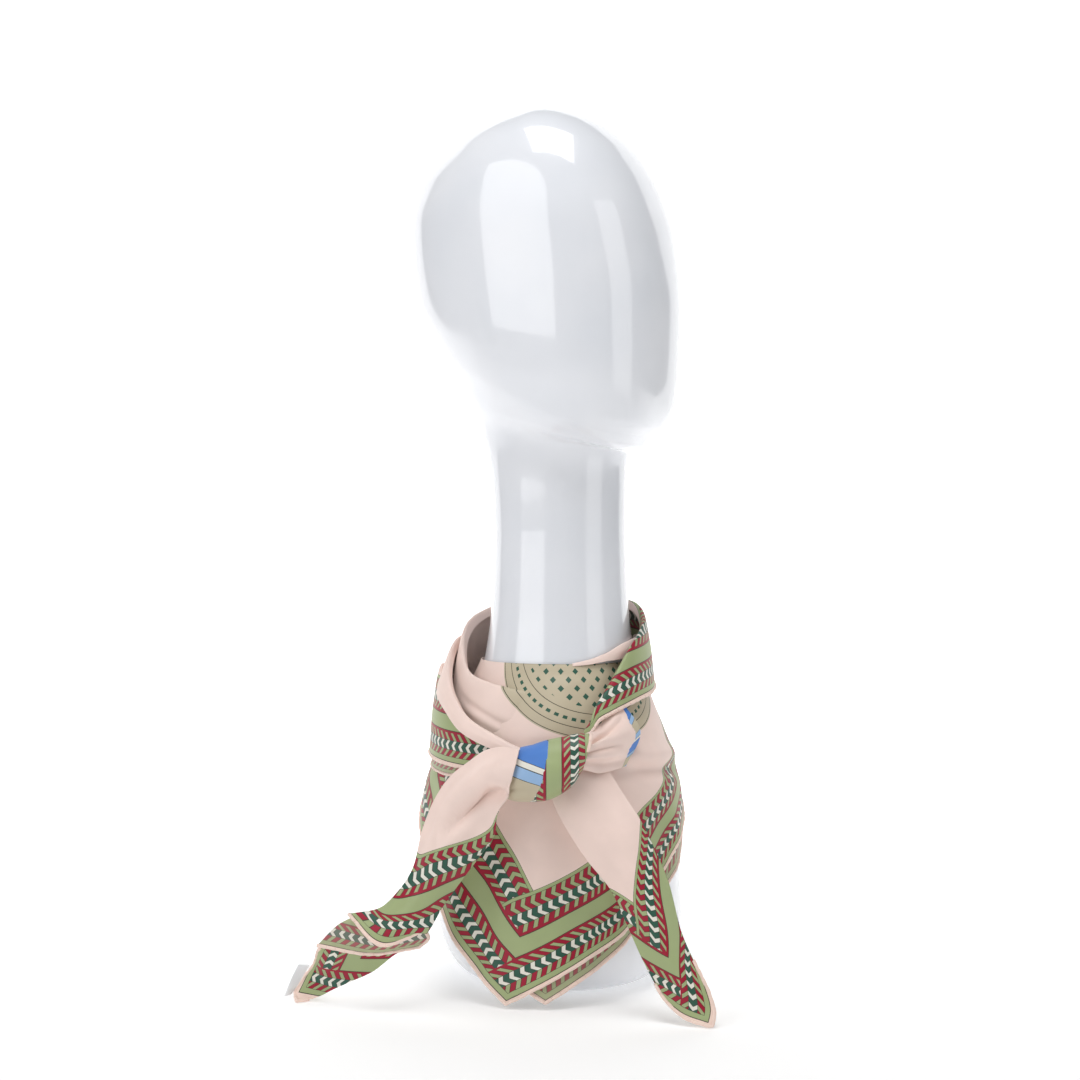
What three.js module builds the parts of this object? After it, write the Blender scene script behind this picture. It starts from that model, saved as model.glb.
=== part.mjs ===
import * as THREE from 'three';

// A silk square, folded corner to corner and tied round the neck of a display head.
// Millimetres. The origin is the middle of the stand's foot, +Z is up and -Y is the front.
// az is the angle round the stand in degrees: 0 at the front, 90 at the right, -90 at the left.

const silkWall = 1.2; // wall of every stretch of silk
const labelWall = 0.9;
const layerGap = 2.4; // from the middle of one silk layer to the middle of the next

const faceTurn = 60; // how far the face looks to the right of the front, in degrees
const standRound = 36; // facets round the stand

// the neck and the bell foot are round
const bellRows = table('z radius', [
  [0, 52],
  [4, 65],
  [14, 75],
  [28, 81.2],
  [45, 83.3],
  [62, 83.2],
  [75, 82.8],
  [97, 81.3],
  [115, 79.4],
  [128, 77.3],
  [154, 69.3],
  [168, 64.3],
  [185, 58],
  [205, 53.8],
  [225, 50],
  [245, 47.4],
  [275, 45.8],
]);

// each row is a tilted slice of the upper neck and the head, seen from the neck's axis
const headRows = table('z tilt back front half square', [
  [300, 0, 45.4, 45, 44.8, 2],
  [335, -0.04, 48, 45.5, 45, 2],
  [362, -0.18, 57, 48, 47, 2],
  [374, -0.35, 69, 54, 55.5, 2.2],
  [384, -0.44, 78, 58.5, 62, 2.4],
  [391, -0.45, 86, 62.5, 65.5, 2.5],
  [402, -0.43, 94, 71, 68.5, 2.5],
  [414, -0.38, 101, 76.5, 70.5, 2.5],
  [430, -0.33, 107, 79, 72.5, 2.5],
  [470, -0.2, 112, 80.5, 75.5, 2.5],
  [505, -0.1, 113, 75.5, 77, 2.5],
  [535, -0.04, 105.5, 66, 74, 2.3],
  [560, 0, 88, 51.5, 65, 2.1],
  [577, 0, 65, 34, 49, 2],
  [586.5, 0, 40, 15, 30, 2],
  [590.3, 0, 20, 0.5, 12, 2],
]);
const crown = { z: 591, back: 9.5 };

// The front panel is part of a wide cone, so its flat cut is known. Its corner hangs left of the front.
const panel = {
  azLeft: -112,
  azTip: -19,
  azRight: 106,
  tipZ: 3.2,
  topZ: 213.8,
  coneZ: 440, // height of the cone's point
  coneSlope: 12.9, // degrees from upright
  hemLeft: 57, // slope of the two hems at the corner, in degrees
  hemRight: 34,
  upLeft: { from: 95, by: 20 }, // how the hems turn up behind the shoulders
  upRight: { from: 85, by: 52 },
};

// radius of the panel by height: at the right side, at the front and at the left side
const drapeRows = table('z side front left', [
  [0, 87.6, 99, 99],
  [30, 87.5, 95.5, 98.5],
  [60, 87.3, 92.6, 97.5],
  [90, 87, 90.8, 96.5],
  [110, 86.2, 89.5, 95],
  [128, 84.4, 87.5, 92],
  [146, 80.5, 84, 86],
  [168, 72, 77, 77],
  [185, 63.5, 69.5, 68],
  [200, 58.2, 61, 60],
  [214, 53.5, 53.5, 53.5],
]);

// soft folds of the panel that run up and down; lean turns one as it climbs, in degrees each mm
const panelFolds = table('az low high width depth lean', [
  [-44, 20, 150, 7, 2.6, 0.02],
  [-31, 10, 130, 5, -1.8, 0.05],
  [2, 30, 130, 8, -2.2, -0.04],
  [22, 20, 120, 7, 2.4, -0.05],
  [47, 30, 125, 8, -1.6, 0.06],
  [64, 50, 120, 7, 1.6, 0.02],
  [-70, 60, 140, 8, -2.2, 0.03],
  [-4, 162, 208, 14, 1.8, 0.3],
]);
// the crease across the right shoulder, from the knot to the side
const shoulderCrease = { azFrom: 24, azTo: 96, zFrom: 147, zTo: 139, width: 5.5, depth: 2.6, lip: 1.6 };

const under = { azTip: -5.5, azLeft: -30, azRight: 94, tipZ: 4.6, cover: 34, sideDrop: 6 };

// A stretch round the neck has a section with four points: its inner rim, its top, its outermost
// point and its low edge. Each is a radius and a height.
const roundColumns = 'az rimR rimZ topR topZ outR outZ lowR lowZ';

const neckRollRight = table(roundColumns, [
  [33, 53, 216.8, 53.8, 219.5, 55, 218.5, 56.2, 216.2],
  [50, 52.6, 219, 53.4, 226, 56.2, 223, 57.4, 216.2],
  [70, 52.4, 221, 53.2, 229, 56.6, 225, 58.2, 216.4],
  [90, 52.2, 222, 53, 230, 56.7, 226, 58.4, 216.6],
  [104.5, 52.3, 221, 53.2, 229, 57, 224, 58.8, 217],
]);
const armRight = table(roundColumns, [
  [106.4, 53, 221, 54.6, 227, 61.8, 190, 84.4, 130],
  [125, 53.6, 216, 55.2, 221, 62, 190, 77, 147],
  [145, 55, 209, 56.8, 213, 62.3, 190, 72.5, 158],
  [163, 56.4, 203, 57.8, 206, 62.5, 189, 70, 163],
  [181.7, 57.2, 200, 58.4, 203, 62.5, 187, 68, 166],
]);
const rollLeftInner = table(roundColumns, [
  [-181.8, 50, 248, 52, 253, 55, 240, 56.5, 209],
  [-165, 51.8, 248, 54, 253, 57.2, 240, 58.6, 207],
  [-150, 54.5, 247, 57, 252.5, 60, 240, 61.4, 204],
  [-135, 57.5, 244, 60, 249.5, 63, 236, 65, 198],
  [-120, 60.5, 239, 63, 245, 66, 230, 70, 190],
  [-105, 63, 231, 66, 238, 69, 222, 72.5, 185],
  [-90, 64, 220, 66.8, 226.5, 71.5, 209, 75, 180],
  [-75, 64, 206, 66.5, 211, 75, 190, 77.6, 172],
  [-60, 65.2, 197, 68, 200, 76.6, 184, 79.2, 168],
  [-45, 70, 188.5, 72.5, 190.5, 78.3, 179, 80.8, 167],
  [-30, 74.6, 180, 76.4, 180.8, 79.8, 174, 81.4, 167],
]);
const wrapLeft = table(roundColumns, [
  [-177.9, 57.2, 200, 58.4, 203, 62.5, 187, 68, 166],
  [-160, 62, 201, 63.6, 204, 68.5, 186, 73, 163],
  [-140, 70, 199, 72, 202, 76, 183, 79, 158],
  [-120, 75, 197, 77, 200, 81, 181, 84, 155],
  [-95, 79.5, 195, 81.5, 198, 86, 178, 88.5, 152],
  [-75, 82, 187, 84, 190, 87.5, 172, 89.5, 150],
  [-55, 83.6, 178, 85.6, 180.5, 88.5, 166, 90, 148.5],
  [-40, 84, 171, 86, 173.5, 88.5, 162, 89.5, 148],
  [-27, 84, 166, 86, 168, 87.5, 160, 88, 149],
]);
const rollLeftOuter = table(roundColumns, [
  [-150, 66, 218, 69, 222.5, 73.5, 217, 74, 209],
  [-135, 67.5, 223, 70.5, 228, 76, 220, 77.6, 208],
  [-120, 69.2, 225, 72, 230, 78, 219, 81, 204],
  [-105, 71.5, 222, 74, 226.5, 80, 214, 84.6, 198],
  [-90, 73, 215, 76, 218.5, 82.6, 205, 86.4, 191],
  [-75, 76, 204, 79.5, 207, 86.3, 196, 88.6, 184],
  [-60, 79.5, 193, 83, 195, 89, 187, 90.4, 177],
  [-45, 82.5, 184, 86, 185, 91, 178, 91.8, 169],
  [-29, 84.5, 175.5, 88, 176, 91.4, 170, 91.6, 162],
  [-16, 86, 171, 88.5, 171.4, 91.4, 167, 92, 160],
]);
const wrapRight = table(roundColumns, [
  [177.8, 50, 248, 52, 253, 55, 240, 56.5, 209],
  [150, 52, 249.5, 54.5, 254.5, 59, 242, 63, 205],
  [120, 54, 247, 57, 252.5, 61, 240, 65, 201],
  [90, 54.6, 238, 57.2, 244, 61.4, 226, 64.6, 197],
  [65, 56.2, 229, 58.8, 233.5, 63.4, 215, 67, 193.5],
  [48, 59.2, 220.5, 61.6, 223.5, 66.4, 208, 70, 191],
  [35, 62.4, 208, 65, 210, 70.2, 200, 73.4, 187.5],
  [24, 67.4, 195.5, 69.6, 196.5, 73.8, 190, 76.6, 183],
  [17, 72, 187.5, 73.6, 188, 76.4, 184.5, 78, 180.5],
]);

// A hanging stretch is a row of sections from the knot outwards, each with its upper or left edge (u),
// its middle (m) and its lower or right edge (w).
const hangingColumns = 'ux uy uz mx my mz wx wy wz';

const strandRight = table(hangingColumns, [
  [41.4, -57.8, 187.4, 51, -64, 171, 41, -74.5, 150.5],
  [34.6, -64, 184.8, 40, -78, 169, 33, -83, 149],
  [24.5, -71, 176, 27.5, -90, 162.5, 24, -91, 147.5],
  [18.9, -88, 170, 19.6, -98, 159.5, 19.3, -97, 149],
]);
const tailLeft = table(hangingColumns, [
  [-34, -105, 158, -35, -108.5, 150, -34, -105, 143],
  [-39.5, -102, 160, -39.5, -111, 147, -38.6, -102, 136.6],
  [-45, -99, 161.5, -43, -112, 144, -40, -100, 126],
  [-58, -96, 157, -51, -113, 135, -44, -99, 112],
  [-70, -95, 147, -61, -111, 124, -51.5, -99, 98],
  [-80, -94, 132, -71, -109, 110, -60.5, -100, 85.5],
  [-87.5, -93, 113, -78.5, -108, 92, -69, -100, 74],
  [-93, -92, 90, -84, -105, 77, -75.5, -100, 64.5],
  [-103, -92, 74, -92, -104, 65, -81, -100, 54.5],
  [-116, -92, 63, -101, -103, 55, -84.5, -100, 49.5],
  [-130.5, -93, 57.5, -112, -102, 43.5, -86.5, -100, 50.5],
]);
const tailLeftUnder = table(hangingColumns, [
  [-117, -90.2, 62.2, -102, -101, 54.8, -85.5, -98, 50.8],
  [-139, -88, 53.5, -114, -98, 44, -84.5, -95.5, 48],
  [-154.7, -85.5, 38.3, -120, -94.5, 36, -84, -92.5, 44],
]);
const tailLeftEnd = table(hangingColumns, [
  [-106.8, -94, 41, -105.4, -91, 36, -104, -88, 31],
  [-124.9, -91.8, 40, -122.5, -89, 31, -119.8, -86.5, 22.1],
  [-141, -87.3, 39.5, -137.5, -84.5, 27, -134, -84.5, 15.2],
  [-153, -82.5, 36, -149, -78.5, 22, -145.9, -81, 9],
  [-159.4, -65, 21.5, -156.7, -71, 12.9, -154.1, -77, 4.1],
  [-166.8, -63.5, 10.7, -164, -69.5, 5.9, -161.2, -76, 1.8],
  [-171.6, -65.5, 3.2, -170.4, -71.5, 1.9, -168.4, -78.5, 1.4],
]);
const tailRight = table(hangingColumns, [
  [0, -93.8, 145.8, 14, -94.9, 147, 29.5, -87.8, 146.4],
  [4, -97, 129.5, 21, -104, 131, 38.5, -96, 134.5],
  [10.5, -103, 113, 30, -110, 115, 48, -101.5, 122],
  [18.5, -105.5, 96, 39, -112, 97.8, 57.5, -106, 103],
  [29.2, -108, 78, 48, -115, 80, 65.5, -109, 84],
  [41, -112, 55, 57.3, -119, 55, 73, -114, 54.5],
  [48.3, -115, 39.5, 63.8, -122, 40.5, 79.2, -118, 40],
  [57.3, -119, 22.5, 71.4, -125, 25.6, 85, -122, 28],
  [65, -123, 12.8, 77.5, -127.5, 15.2, 89.4, -126, 17.5],
  [75.5, -127.5, 6.6, 84, -130, 7.6, 91.8, -130, 8.6],
  [86.6, -131.5, 1.9, 88.6, -132, 1.7, 90.6, -132, 1.6],
]);
const labelRows = table(hangingColumns, [
  [-162.6, -62.4, 20.2, -166, -62.6, 20.4, -170, -62.8, 20.6],
  [-168.6, -63.6, 9.8, -171.4, -64.6, 10.4, -174.6, -65.8, 11],
  [-174, -67.4, 2.6, -175.4, -70, 2.6, -177.4, -72.6, 2.6],
]);

// The knot's outer turn is a short sleeve across the front, open at its back.
const knotRows = table('x y z deep high', [
  [-38.2, -106, 149.6, 11.5, 17],
  [-28, -107, 152, 14.2, 19],
  [-10, -107.5, 154.5, 15.5, 20.5],
  [8, -107, 158, 14, 18.4],
  [18.4, -106, 160.4, 11.5, 14.8],
]);
const knotOpen = 44; // half the angle left open at the back, in degrees

function table(columns, rows) {
  const names = columns.split(' ');
  return rows.map((row) => Object.fromEntries(names.map((name, i) => [name, row[i]])));
}

function blend(from, to, part) {
  return from + (to - from) * part;
}

function smooth(part) {
  const p = Math.min(1, Math.max(0, part));
  return p * p * (3 - 2 * p);
}

function radians(degrees) {
  return (degrees * Math.PI) / 180;
}

// a smooth curve through values that never swings past them
function easedCurve(xs, ys) {
  const slopes = xs.slice(1).map((x, i) => (ys[i + 1] - ys[i]) / (x - xs[i]));
  const tangents = ys.map((_, i) => {
    if (i === 0) return slopes[0];
    if (i === ys.length - 1) return slopes[i - 1];
    const before = slopes[i - 1];
    const after = slopes[i];
    return before * after <= 0 ? 0 : (2 * before * after) / (before + after);
  });
  return (x) => {
    let i = xs.findIndex((_, k) => x <= xs[k + 1]);
    if (i < 0) i = xs.length - 2;
    const h = xs[i + 1] - xs[i];
    const t = Math.min(1, Math.max(0, (x - xs[i]) / h));
    const a = (1 + 2 * t) * (1 - t) * (1 - t);
    const b = t * (1 - t) * (1 - t);
    const c = t * t * (3 - 2 * t);
    const d = t * t * (t - 1);
    return a * ys[i] + b * h * tangents[i] + c * ys[i + 1] + d * h * tangents[i + 1];
  };
}

function byColumn(rows, key, value) {
  return easedCurve(rows.map((row) => row[key]), rows.map((row) => row[value]));
}

// every column of a table as a curve along its rows, sampled at steps + 1 places
function sampleRows(rows, steps) {
  const places = rows.map((_, i) => i);
  const names = Object.keys(rows[0]);
  const curves = names.map((name) => easedCurve(places, rows.map((row) => row[name])));
  return Array.from({ length: steps + 1 }, (_, i) => {
    const at = (i / steps) * (rows.length - 1);
    return Object.fromEntries(names.map((name, k) => [name, curves[k](at)]));
  });
}

function around(az, radius, z) {
  return new THREE.Vector3(radius * Math.sin(radians(az)), -radius * Math.cos(radians(az)), z);
}

function throughPoints(points, across) {
  return new THREE.CatmullRomCurve3(points, false, 'centripetal').getSpacedPoints(across);
}

function named(name, geometry, colour) {
  const material = new THREE.MeshStandardMaterial({ color: colour, side: THREE.FrontSide });
  material.name = name;
  const mesh = new THREE.Mesh(geometry, material);
  mesh.name = name;
  return mesh;
}

function closedBody(points, faces) {
  let volume = 0;
  for (const [a, b, c] of faces) {
    volume += points[a].dot(new THREE.Vector3().crossVectors(points[b], points[c]));
  }
  const outward = volume > 0 ? faces : faces.map(([a, b, c]) => [a, c, b]);
  const geometry = new THREE.BufferGeometry();
  const flat = points.flatMap((p) => [p.x, p.y, p.z]);
  geometry.setAttribute('position', new THREE.Float32BufferAttribute(flat, 3));
  geometry.setIndex(outward.flat());
  geometry.computeVertexNormals();
  return geometry;
}

// gives a grid of points a wall: two skins, half a wall each way, joined round the edge
function wall(grid, thick) {
  const rows = grid.length;
  const columns = grid[0].length;
  const skins = [[], []];
  for (let i = 0; i < rows; i += 1) {
    for (let j = 0; j < columns; j += 1) {
      const along = grid[Math.min(i + 1, rows - 1)][j].clone().sub(grid[Math.max(i - 1, 0)][j]);
      const across = grid[i][Math.min(j + 1, columns - 1)].clone().sub(grid[i][Math.max(j - 1, 0)]);
      const normal = along.cross(across).normalize().multiplyScalar(thick / 2);
      skins[0].push(grid[i][j].clone().add(normal));
      skins[1].push(grid[i][j].clone().sub(normal));
    }
  }
  const total = rows * columns;
  const faces = [];
  const quad = (a, b, c, d) => faces.push([a, b, c], [a, c, d]);
  const at = (i, j, skin) => skin * total + i * columns + j;
  for (let i = 0; i < rows - 1; i += 1) {
    for (let j = 0; j < columns - 1; j += 1) {
      quad(at(i, j, 0), at(i + 1, j, 0), at(i + 1, j + 1, 0), at(i, j + 1, 0));
      quad(at(i, j, 1), at(i, j + 1, 1), at(i + 1, j + 1, 1), at(i + 1, j, 1));
    }
  }
  for (let i = 0; i < rows - 1; i += 1) {
    quad(at(i, 0, 0), at(i, 0, 1), at(i + 1, 0, 1), at(i + 1, 0, 0));
    quad(at(i, columns - 1, 0), at(i + 1, columns - 1, 0), at(i + 1, columns - 1, 1), at(i, columns - 1, 1));
  }
  for (let j = 0; j < columns - 1; j += 1) {
    quad(at(0, j, 0), at(0, j + 1, 0), at(0, j + 1, 1), at(0, j, 1));
    quad(at(rows - 1, j, 0), at(rows - 1, j, 1), at(rows - 1, j + 1, 1), at(rows - 1, j + 1, 0));
  }
  return closedBody([...skins[0], ...skins[1]], faces);
}

function wrapped(rows, steps, across) {
  return sampleRows(rows, steps).map((s) =>
    throughPoints(
      [
        around(s.az, s.rimR, s.rimZ),
        around(s.az, s.topR, s.topZ),
        around(s.az, s.outR, s.outZ),
        around(s.az, s.lowR, s.lowZ),
      ],
      across,
    ),
  );
}

function hanging(rows, steps, across) {
  return sampleRows(rows, steps).map((s) =>
    throughPoints(
      [
        new THREE.Vector3(s.ux, s.uy, s.uz),
        new THREE.Vector3(s.mx, s.my, s.mz),
        new THREE.Vector3(s.wx, s.wy, s.wz),
      ],
      across,
    ),
  );
}

function standBody() {
  const turn = radians(faceTurn);
  const face = new THREE.Vector3(Math.sin(turn), -Math.cos(turn), 0);
  const side = new THREE.Vector3(Math.cos(turn), Math.sin(turn), 0);
  const signedPower = (value, power) => Math.sign(value) * Math.abs(value) ** power;
  const ring = (s) =>
    Array.from({ length: standRound }, (_, k) => {
      const t = (k / standRound) * Math.PI * 2;
      const power = Math.cos(t) > 0 ? 2 / s.square : 1;
      const reach = (Math.cos(t) > 0 ? s.front : s.back) * signedPower(Math.cos(t), power);
      const wide = s.half * signedPower(Math.sin(t), power);
      const point = face.clone().multiplyScalar(reach).addScaledVector(side, wide);
      point.z = s.z + s.tilt * reach;
      return point;
    });
  const bell = byColumn(bellRows, 'z', 'radius');
  const bellHeights = [0, 2, 5, 10, 17, 26, 38, 52, 68, 86, 104, 120, 134, 148, 160, 172, 184, 196, 210, 228, 250, 275];
  const rings = bellHeights.map((z) => {
    const r = bell(z);
    return ring({ z, tilt: 0, back: r, front: r, half: r, square: 2 });
  });
  sampleRows(headRows, 29).forEach((s) => rings.push(ring(s)));
  const points = rings.flat();
  const foot = points.push(new THREE.Vector3(0, 0, 0)) - 1;
  const topPoint = face.clone().multiplyScalar(-crown.back).setZ(crown.z);
  const top = points.push(topPoint) - 1;
  const faces = [];
  const last = (rings.length - 1) * standRound;
  for (let k = 0; k < standRound; k += 1) {
    const next = (k + 1) % standRound;
    faces.push([foot, next, k], [top, last + k, last + next]);
    for (let i = 0; i < rings.length - 1; i += 1) {
      const low = i * standRound;
      const high = low + standRound;
      faces.push([low + k, low + next, high + next], [low + k, high + next, high + k]);
    }
  }
  return closedBody(points, faces);
}

// height of a hem that leaves the panel's corner in a straight line of the flat cut
function hemHeight(az, azTip, tipZ) {
  const cone = radians(panel.coneSlope);
  const tipReach = (panel.coneZ - tipZ) / Math.cos(cone);
  const turn = radians(az - azTip) * Math.sin(cone);
  const slope = Math.tan(radians(turn < 0 ? panel.hemLeft : panel.hemRight));
  const reach = tipReach / (Math.cos(turn) + slope * Math.abs(Math.sin(turn)));
  const left = panel.upLeft.by * Math.max(0, (-az - panel.upLeft.from) / 17) ** 1.5;
  const right = panel.upRight.by * Math.max(0, (az - panel.upRight.from) / 21) ** 1.5;
  return panel.coneZ - reach * Math.cos(cone) + left + right;
}

const drape = {
  side: byColumn(drapeRows, 'z', 'side'),
  front: byColumn(drapeRows, 'z', 'front'),
  left: byColumn(drapeRows, 'z', 'left'),
};

function panelRadius(az, z) {
  const toSide = az > -15 ? smooth((az + 15) / 85) : 0;
  const toLeft = az < -15 ? smooth((-15 - az) / 60) : 0;
  let radius = blend(drape.front(z), drape.side(z), toSide);
  radius = blend(radius, drape.left(z), toLeft);
  for (const fold of panelFolds) {
    const middle = (fold.low + fold.high) / 2;
    const away = (az - fold.az - fold.lean * (z - middle)) / fold.width;
    const within = 1 - ((z - middle) / (fold.high - middle)) ** 2;
    if (within > 0) radius += fold.depth * Math.exp(-away * away) * smooth(within * 1.6);
  }
  const crease = shoulderCrease;
  const along = (az - crease.azFrom) / (crease.azTo - crease.azFrom);
  if (along > 0 && along < 1) {
    const above = (z - blend(crease.zFrom, crease.zTo, along)) / crease.width;
    const strength = smooth(along * 4) * smooth((1 - along) * 3);
    radius -= crease.depth * strength * Math.exp(-above * above);
    radius += crease.lip * strength * Math.exp(-((above - 2) ** 2));
  }
  return radius;
}

function panelGrid() {
  const leftSteps = 20;
  const rightSteps = 26;
  const up = 19;
  const angles = [];
  for (let k = 0; k < leftSteps; k += 1) angles.push(blend(panel.azLeft, panel.azTip, k / leftSteps));
  for (let k = 0; k <= rightSteps; k += 1) angles.push(blend(panel.azTip, panel.azRight, k / rightSteps));
  return angles.map((az) => {
    const low = hemHeight(az, panel.azTip, panel.tipZ);
    return Array.from({ length: up + 1 }, (_, i) => {
      const z = blend(low, panel.topZ, i / up);
      return around(az, panelRadius(az, z), z);
    });
  });
}

function underGrid() {
  const leftSteps = 6;
  const rightSteps = 26;
  const up = 8;
  const angles = [];
  for (let k = 0; k < leftSteps; k += 1) angles.push(blend(under.azLeft, under.azTip, k / leftSteps));
  for (let k = 0; k <= rightSteps; k += 1) angles.push(blend(under.azTip, under.azRight, k / rightSteps));
  return angles.map((az) => {
    const drop = under.sideDrop * smooth((az - 30) / 60);
    const low = hemHeight(az, under.azTip, under.tipZ) - drop;
    const high = Math.max(low, hemHeight(az, panel.azTip, panel.tipZ)) + under.cover;
    return Array.from({ length: up + 1 }, (_, i) => {
      const z = blend(low, high, i / up);
      return around(az, panelRadius(az, z) - layerGap, z);
    });
  });
}

function knotGrid() {
  const round = 16;
  return sampleRows(knotRows, 10).map((s) =>
    Array.from({ length: round + 1 }, (_, k) => {
      const t = radians(blend(-180 + knotOpen, 180 - knotOpen, k / round));
      return new THREE.Vector3(s.x, s.y - s.deep * Math.cos(t), s.z + s.high * Math.sin(t));
    }),
  );
}

const blush = 0xeed6cc;
const sage = 0x9bac73;
const group = new THREE.Group();
group.add(
  named('stand', standBody(), 0xf4f5f6),
  named('front_panel', wall(panelGrid(), silkWall), blush),
  named('under_panel', wall(underGrid(), silkWall), sage),
  named('neck_roll_right', wall(wrapped(neckRollRight, 12, 8), silkWall), blush),
  named('arm_right', wall(wrapped(armRight, 14, 10), silkWall), blush),
  named('roll_left_inner', wall(wrapped(rollLeftInner, 26, 8), silkWall), blush),
  named('wrap_left', wall(wrapped(wrapLeft, 24, 7), silkWall), sage),
  named('roll_left_outer', wall(wrapped(rollLeftOuter, 24, 8), silkWall), blush),
  named('wrap_right', wall(wrapped(wrapRight, 26, 8), silkWall), sage),
  named('strand_right', wall(hanging(strandRight, 9, 8), silkWall), blush),
  named('knot', wall(knotGrid(), silkWall), sage),
  named('tail_left', wall(hanging(tailLeft, 22, 9), silkWall), blush),
  named('tail_left_under', wall(hanging(tailLeftUnder, 6, 10), silkWall), sage),
  named('tail_left_end', wall(hanging(tailLeftEnd, 12, 6), silkWall), sage),
  named('tail_right', wall(hanging(tailRight, 24, 8), silkWall), blush),
  named('label', wall(hanging(labelRows, 4, 3), labelWall), 0xffffff),
);

export default group;
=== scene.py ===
import math
import bpy
import numpy as np
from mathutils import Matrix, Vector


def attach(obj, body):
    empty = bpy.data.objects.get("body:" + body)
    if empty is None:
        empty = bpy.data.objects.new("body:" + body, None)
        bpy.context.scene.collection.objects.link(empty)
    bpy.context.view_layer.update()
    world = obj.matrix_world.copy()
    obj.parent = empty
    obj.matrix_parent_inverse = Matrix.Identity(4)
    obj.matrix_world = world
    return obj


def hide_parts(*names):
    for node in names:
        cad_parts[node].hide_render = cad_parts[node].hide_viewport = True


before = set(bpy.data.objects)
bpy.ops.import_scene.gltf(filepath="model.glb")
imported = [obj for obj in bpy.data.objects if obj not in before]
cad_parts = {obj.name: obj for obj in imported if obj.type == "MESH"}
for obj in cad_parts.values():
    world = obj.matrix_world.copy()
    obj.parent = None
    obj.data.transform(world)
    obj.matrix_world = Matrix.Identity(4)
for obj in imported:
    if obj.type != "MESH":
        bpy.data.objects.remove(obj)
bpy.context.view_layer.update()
print("frame loaded")

# Lengths in the tables are in millimetres, and meshes are made in metres.
# az is the angle round the stand in degrees: 0 at the front, 90 at the right, -90 at the left.
milli = 0.001


def table(columns, rows):
    return dict(zip(columns.split(), np.array(rows, float).T))


def smooth(part):
    p = np.clip(part, 0, 1)
    return p * p * (3 - 2 * p)


def blend(start, end, part):
    return start + (end - start) * part


def easedCurve(xs, ys, at):
    # a smooth curve through values that never swings past them
    xs, ys, at = np.asarray(xs, float), np.asarray(ys, float), np.asarray(at, float)
    slopes = np.diff(ys) / np.diff(xs)
    tangents = np.empty_like(ys)
    tangents[0], tangents[-1] = slopes[0], slopes[-1]
    before, after = slopes[:-1], slopes[1:]
    total = np.where(before * after > 0, before + after, 1)
    tangents[1:-1] = np.where(before * after > 0, 2 * before * after / total, 0)
    i = np.clip(np.searchsorted(xs, at, side="left") - 1, 0, len(xs) - 2)
    h = xs[i + 1] - xs[i]
    t = np.clip((at - xs[i]) / h, 0, 1)
    value = (1 + 2 * t) * (1 - t) ** 2 * ys[i] + t * (1 - t) ** 2 * h * tangents[i]
    return value + t * t * (3 - 2 * t) * ys[i + 1] + t * t * (t - 1) * h * tangents[i + 1]


def sampleRows(rows, steps):
    count = len(next(iter(rows.values())))
    at = np.linspace(0, count - 1, steps + 1)
    return {name: easedCurve(np.arange(count), column, at) for name, column in rows.items()}


def around(az, radius, z):
    turn = np.radians(az)
    return np.stack([radius * np.sin(turn), -radius * np.cos(turn), z + 0 * turn], axis=-1)


def throughPoints(points, across):
    # points: rows x few x 3; gives rows x (across + 1) x 3, evenly spaced along each curve
    first = 2 * points[:, :1] - points[:, 1:2]
    last = 2 * points[:, -1:] - points[:, -2:-1]
    full = np.concatenate([first, points, last], axis=1)
    gaps = np.maximum(np.linalg.norm(np.diff(full, axis=1), axis=2), 1e-6) ** 0.5
    pieces = []
    part = np.linspace(0, 1, 25)[None, :, None]
    for k in range(points.shape[1] - 1):
        a, b, c, d = (full[:, k + n][:, None] for n in range(4))
        g0, g1, g2 = (gaps[:, k + n][:, None, None] for n in range(3))
        leave = ((b - a) / g0 - (c - a) / (g0 + g1) + (c - b) / g1) * g1
        arrive = ((c - b) / g1 - (d - b) / (g1 + g2) + (d - c) / g2) * g1
        t = part if k == points.shape[1] - 2 else part[:, :-1]
        curve = b + leave * t + (3 * c - 3 * b - 2 * leave - arrive) * t ** 2
        pieces.append(curve + (2 * b - 2 * c + leave + arrive) * t ** 3)
    dense = np.concatenate(pieces, axis=1)
    out = np.empty((len(points), across + 1, 3))
    for i, row in enumerate(dense):
        run = np.concatenate([[0], np.cumsum(np.linalg.norm(np.diff(row, axis=0), axis=1))])
        even = np.linspace(0, run[-1], across + 1)
        for n in range(3):
            out[i, :, n] = np.interp(even, run, row[:, n])
    return out


def gridNormals(grid):
    along = np.gradient(grid, axis=0)
    across = np.gradient(grid, axis=1)
    normal = np.cross(along, across)
    return normal / np.maximum(np.linalg.norm(normal, axis=2, keepdims=True), 1e-9)


def outwardSign(grid):
    radial = grid * np.array([1, 1, 0])
    return 1 if np.sum(gridNormals(grid) * radial) > 0 else -1


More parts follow.
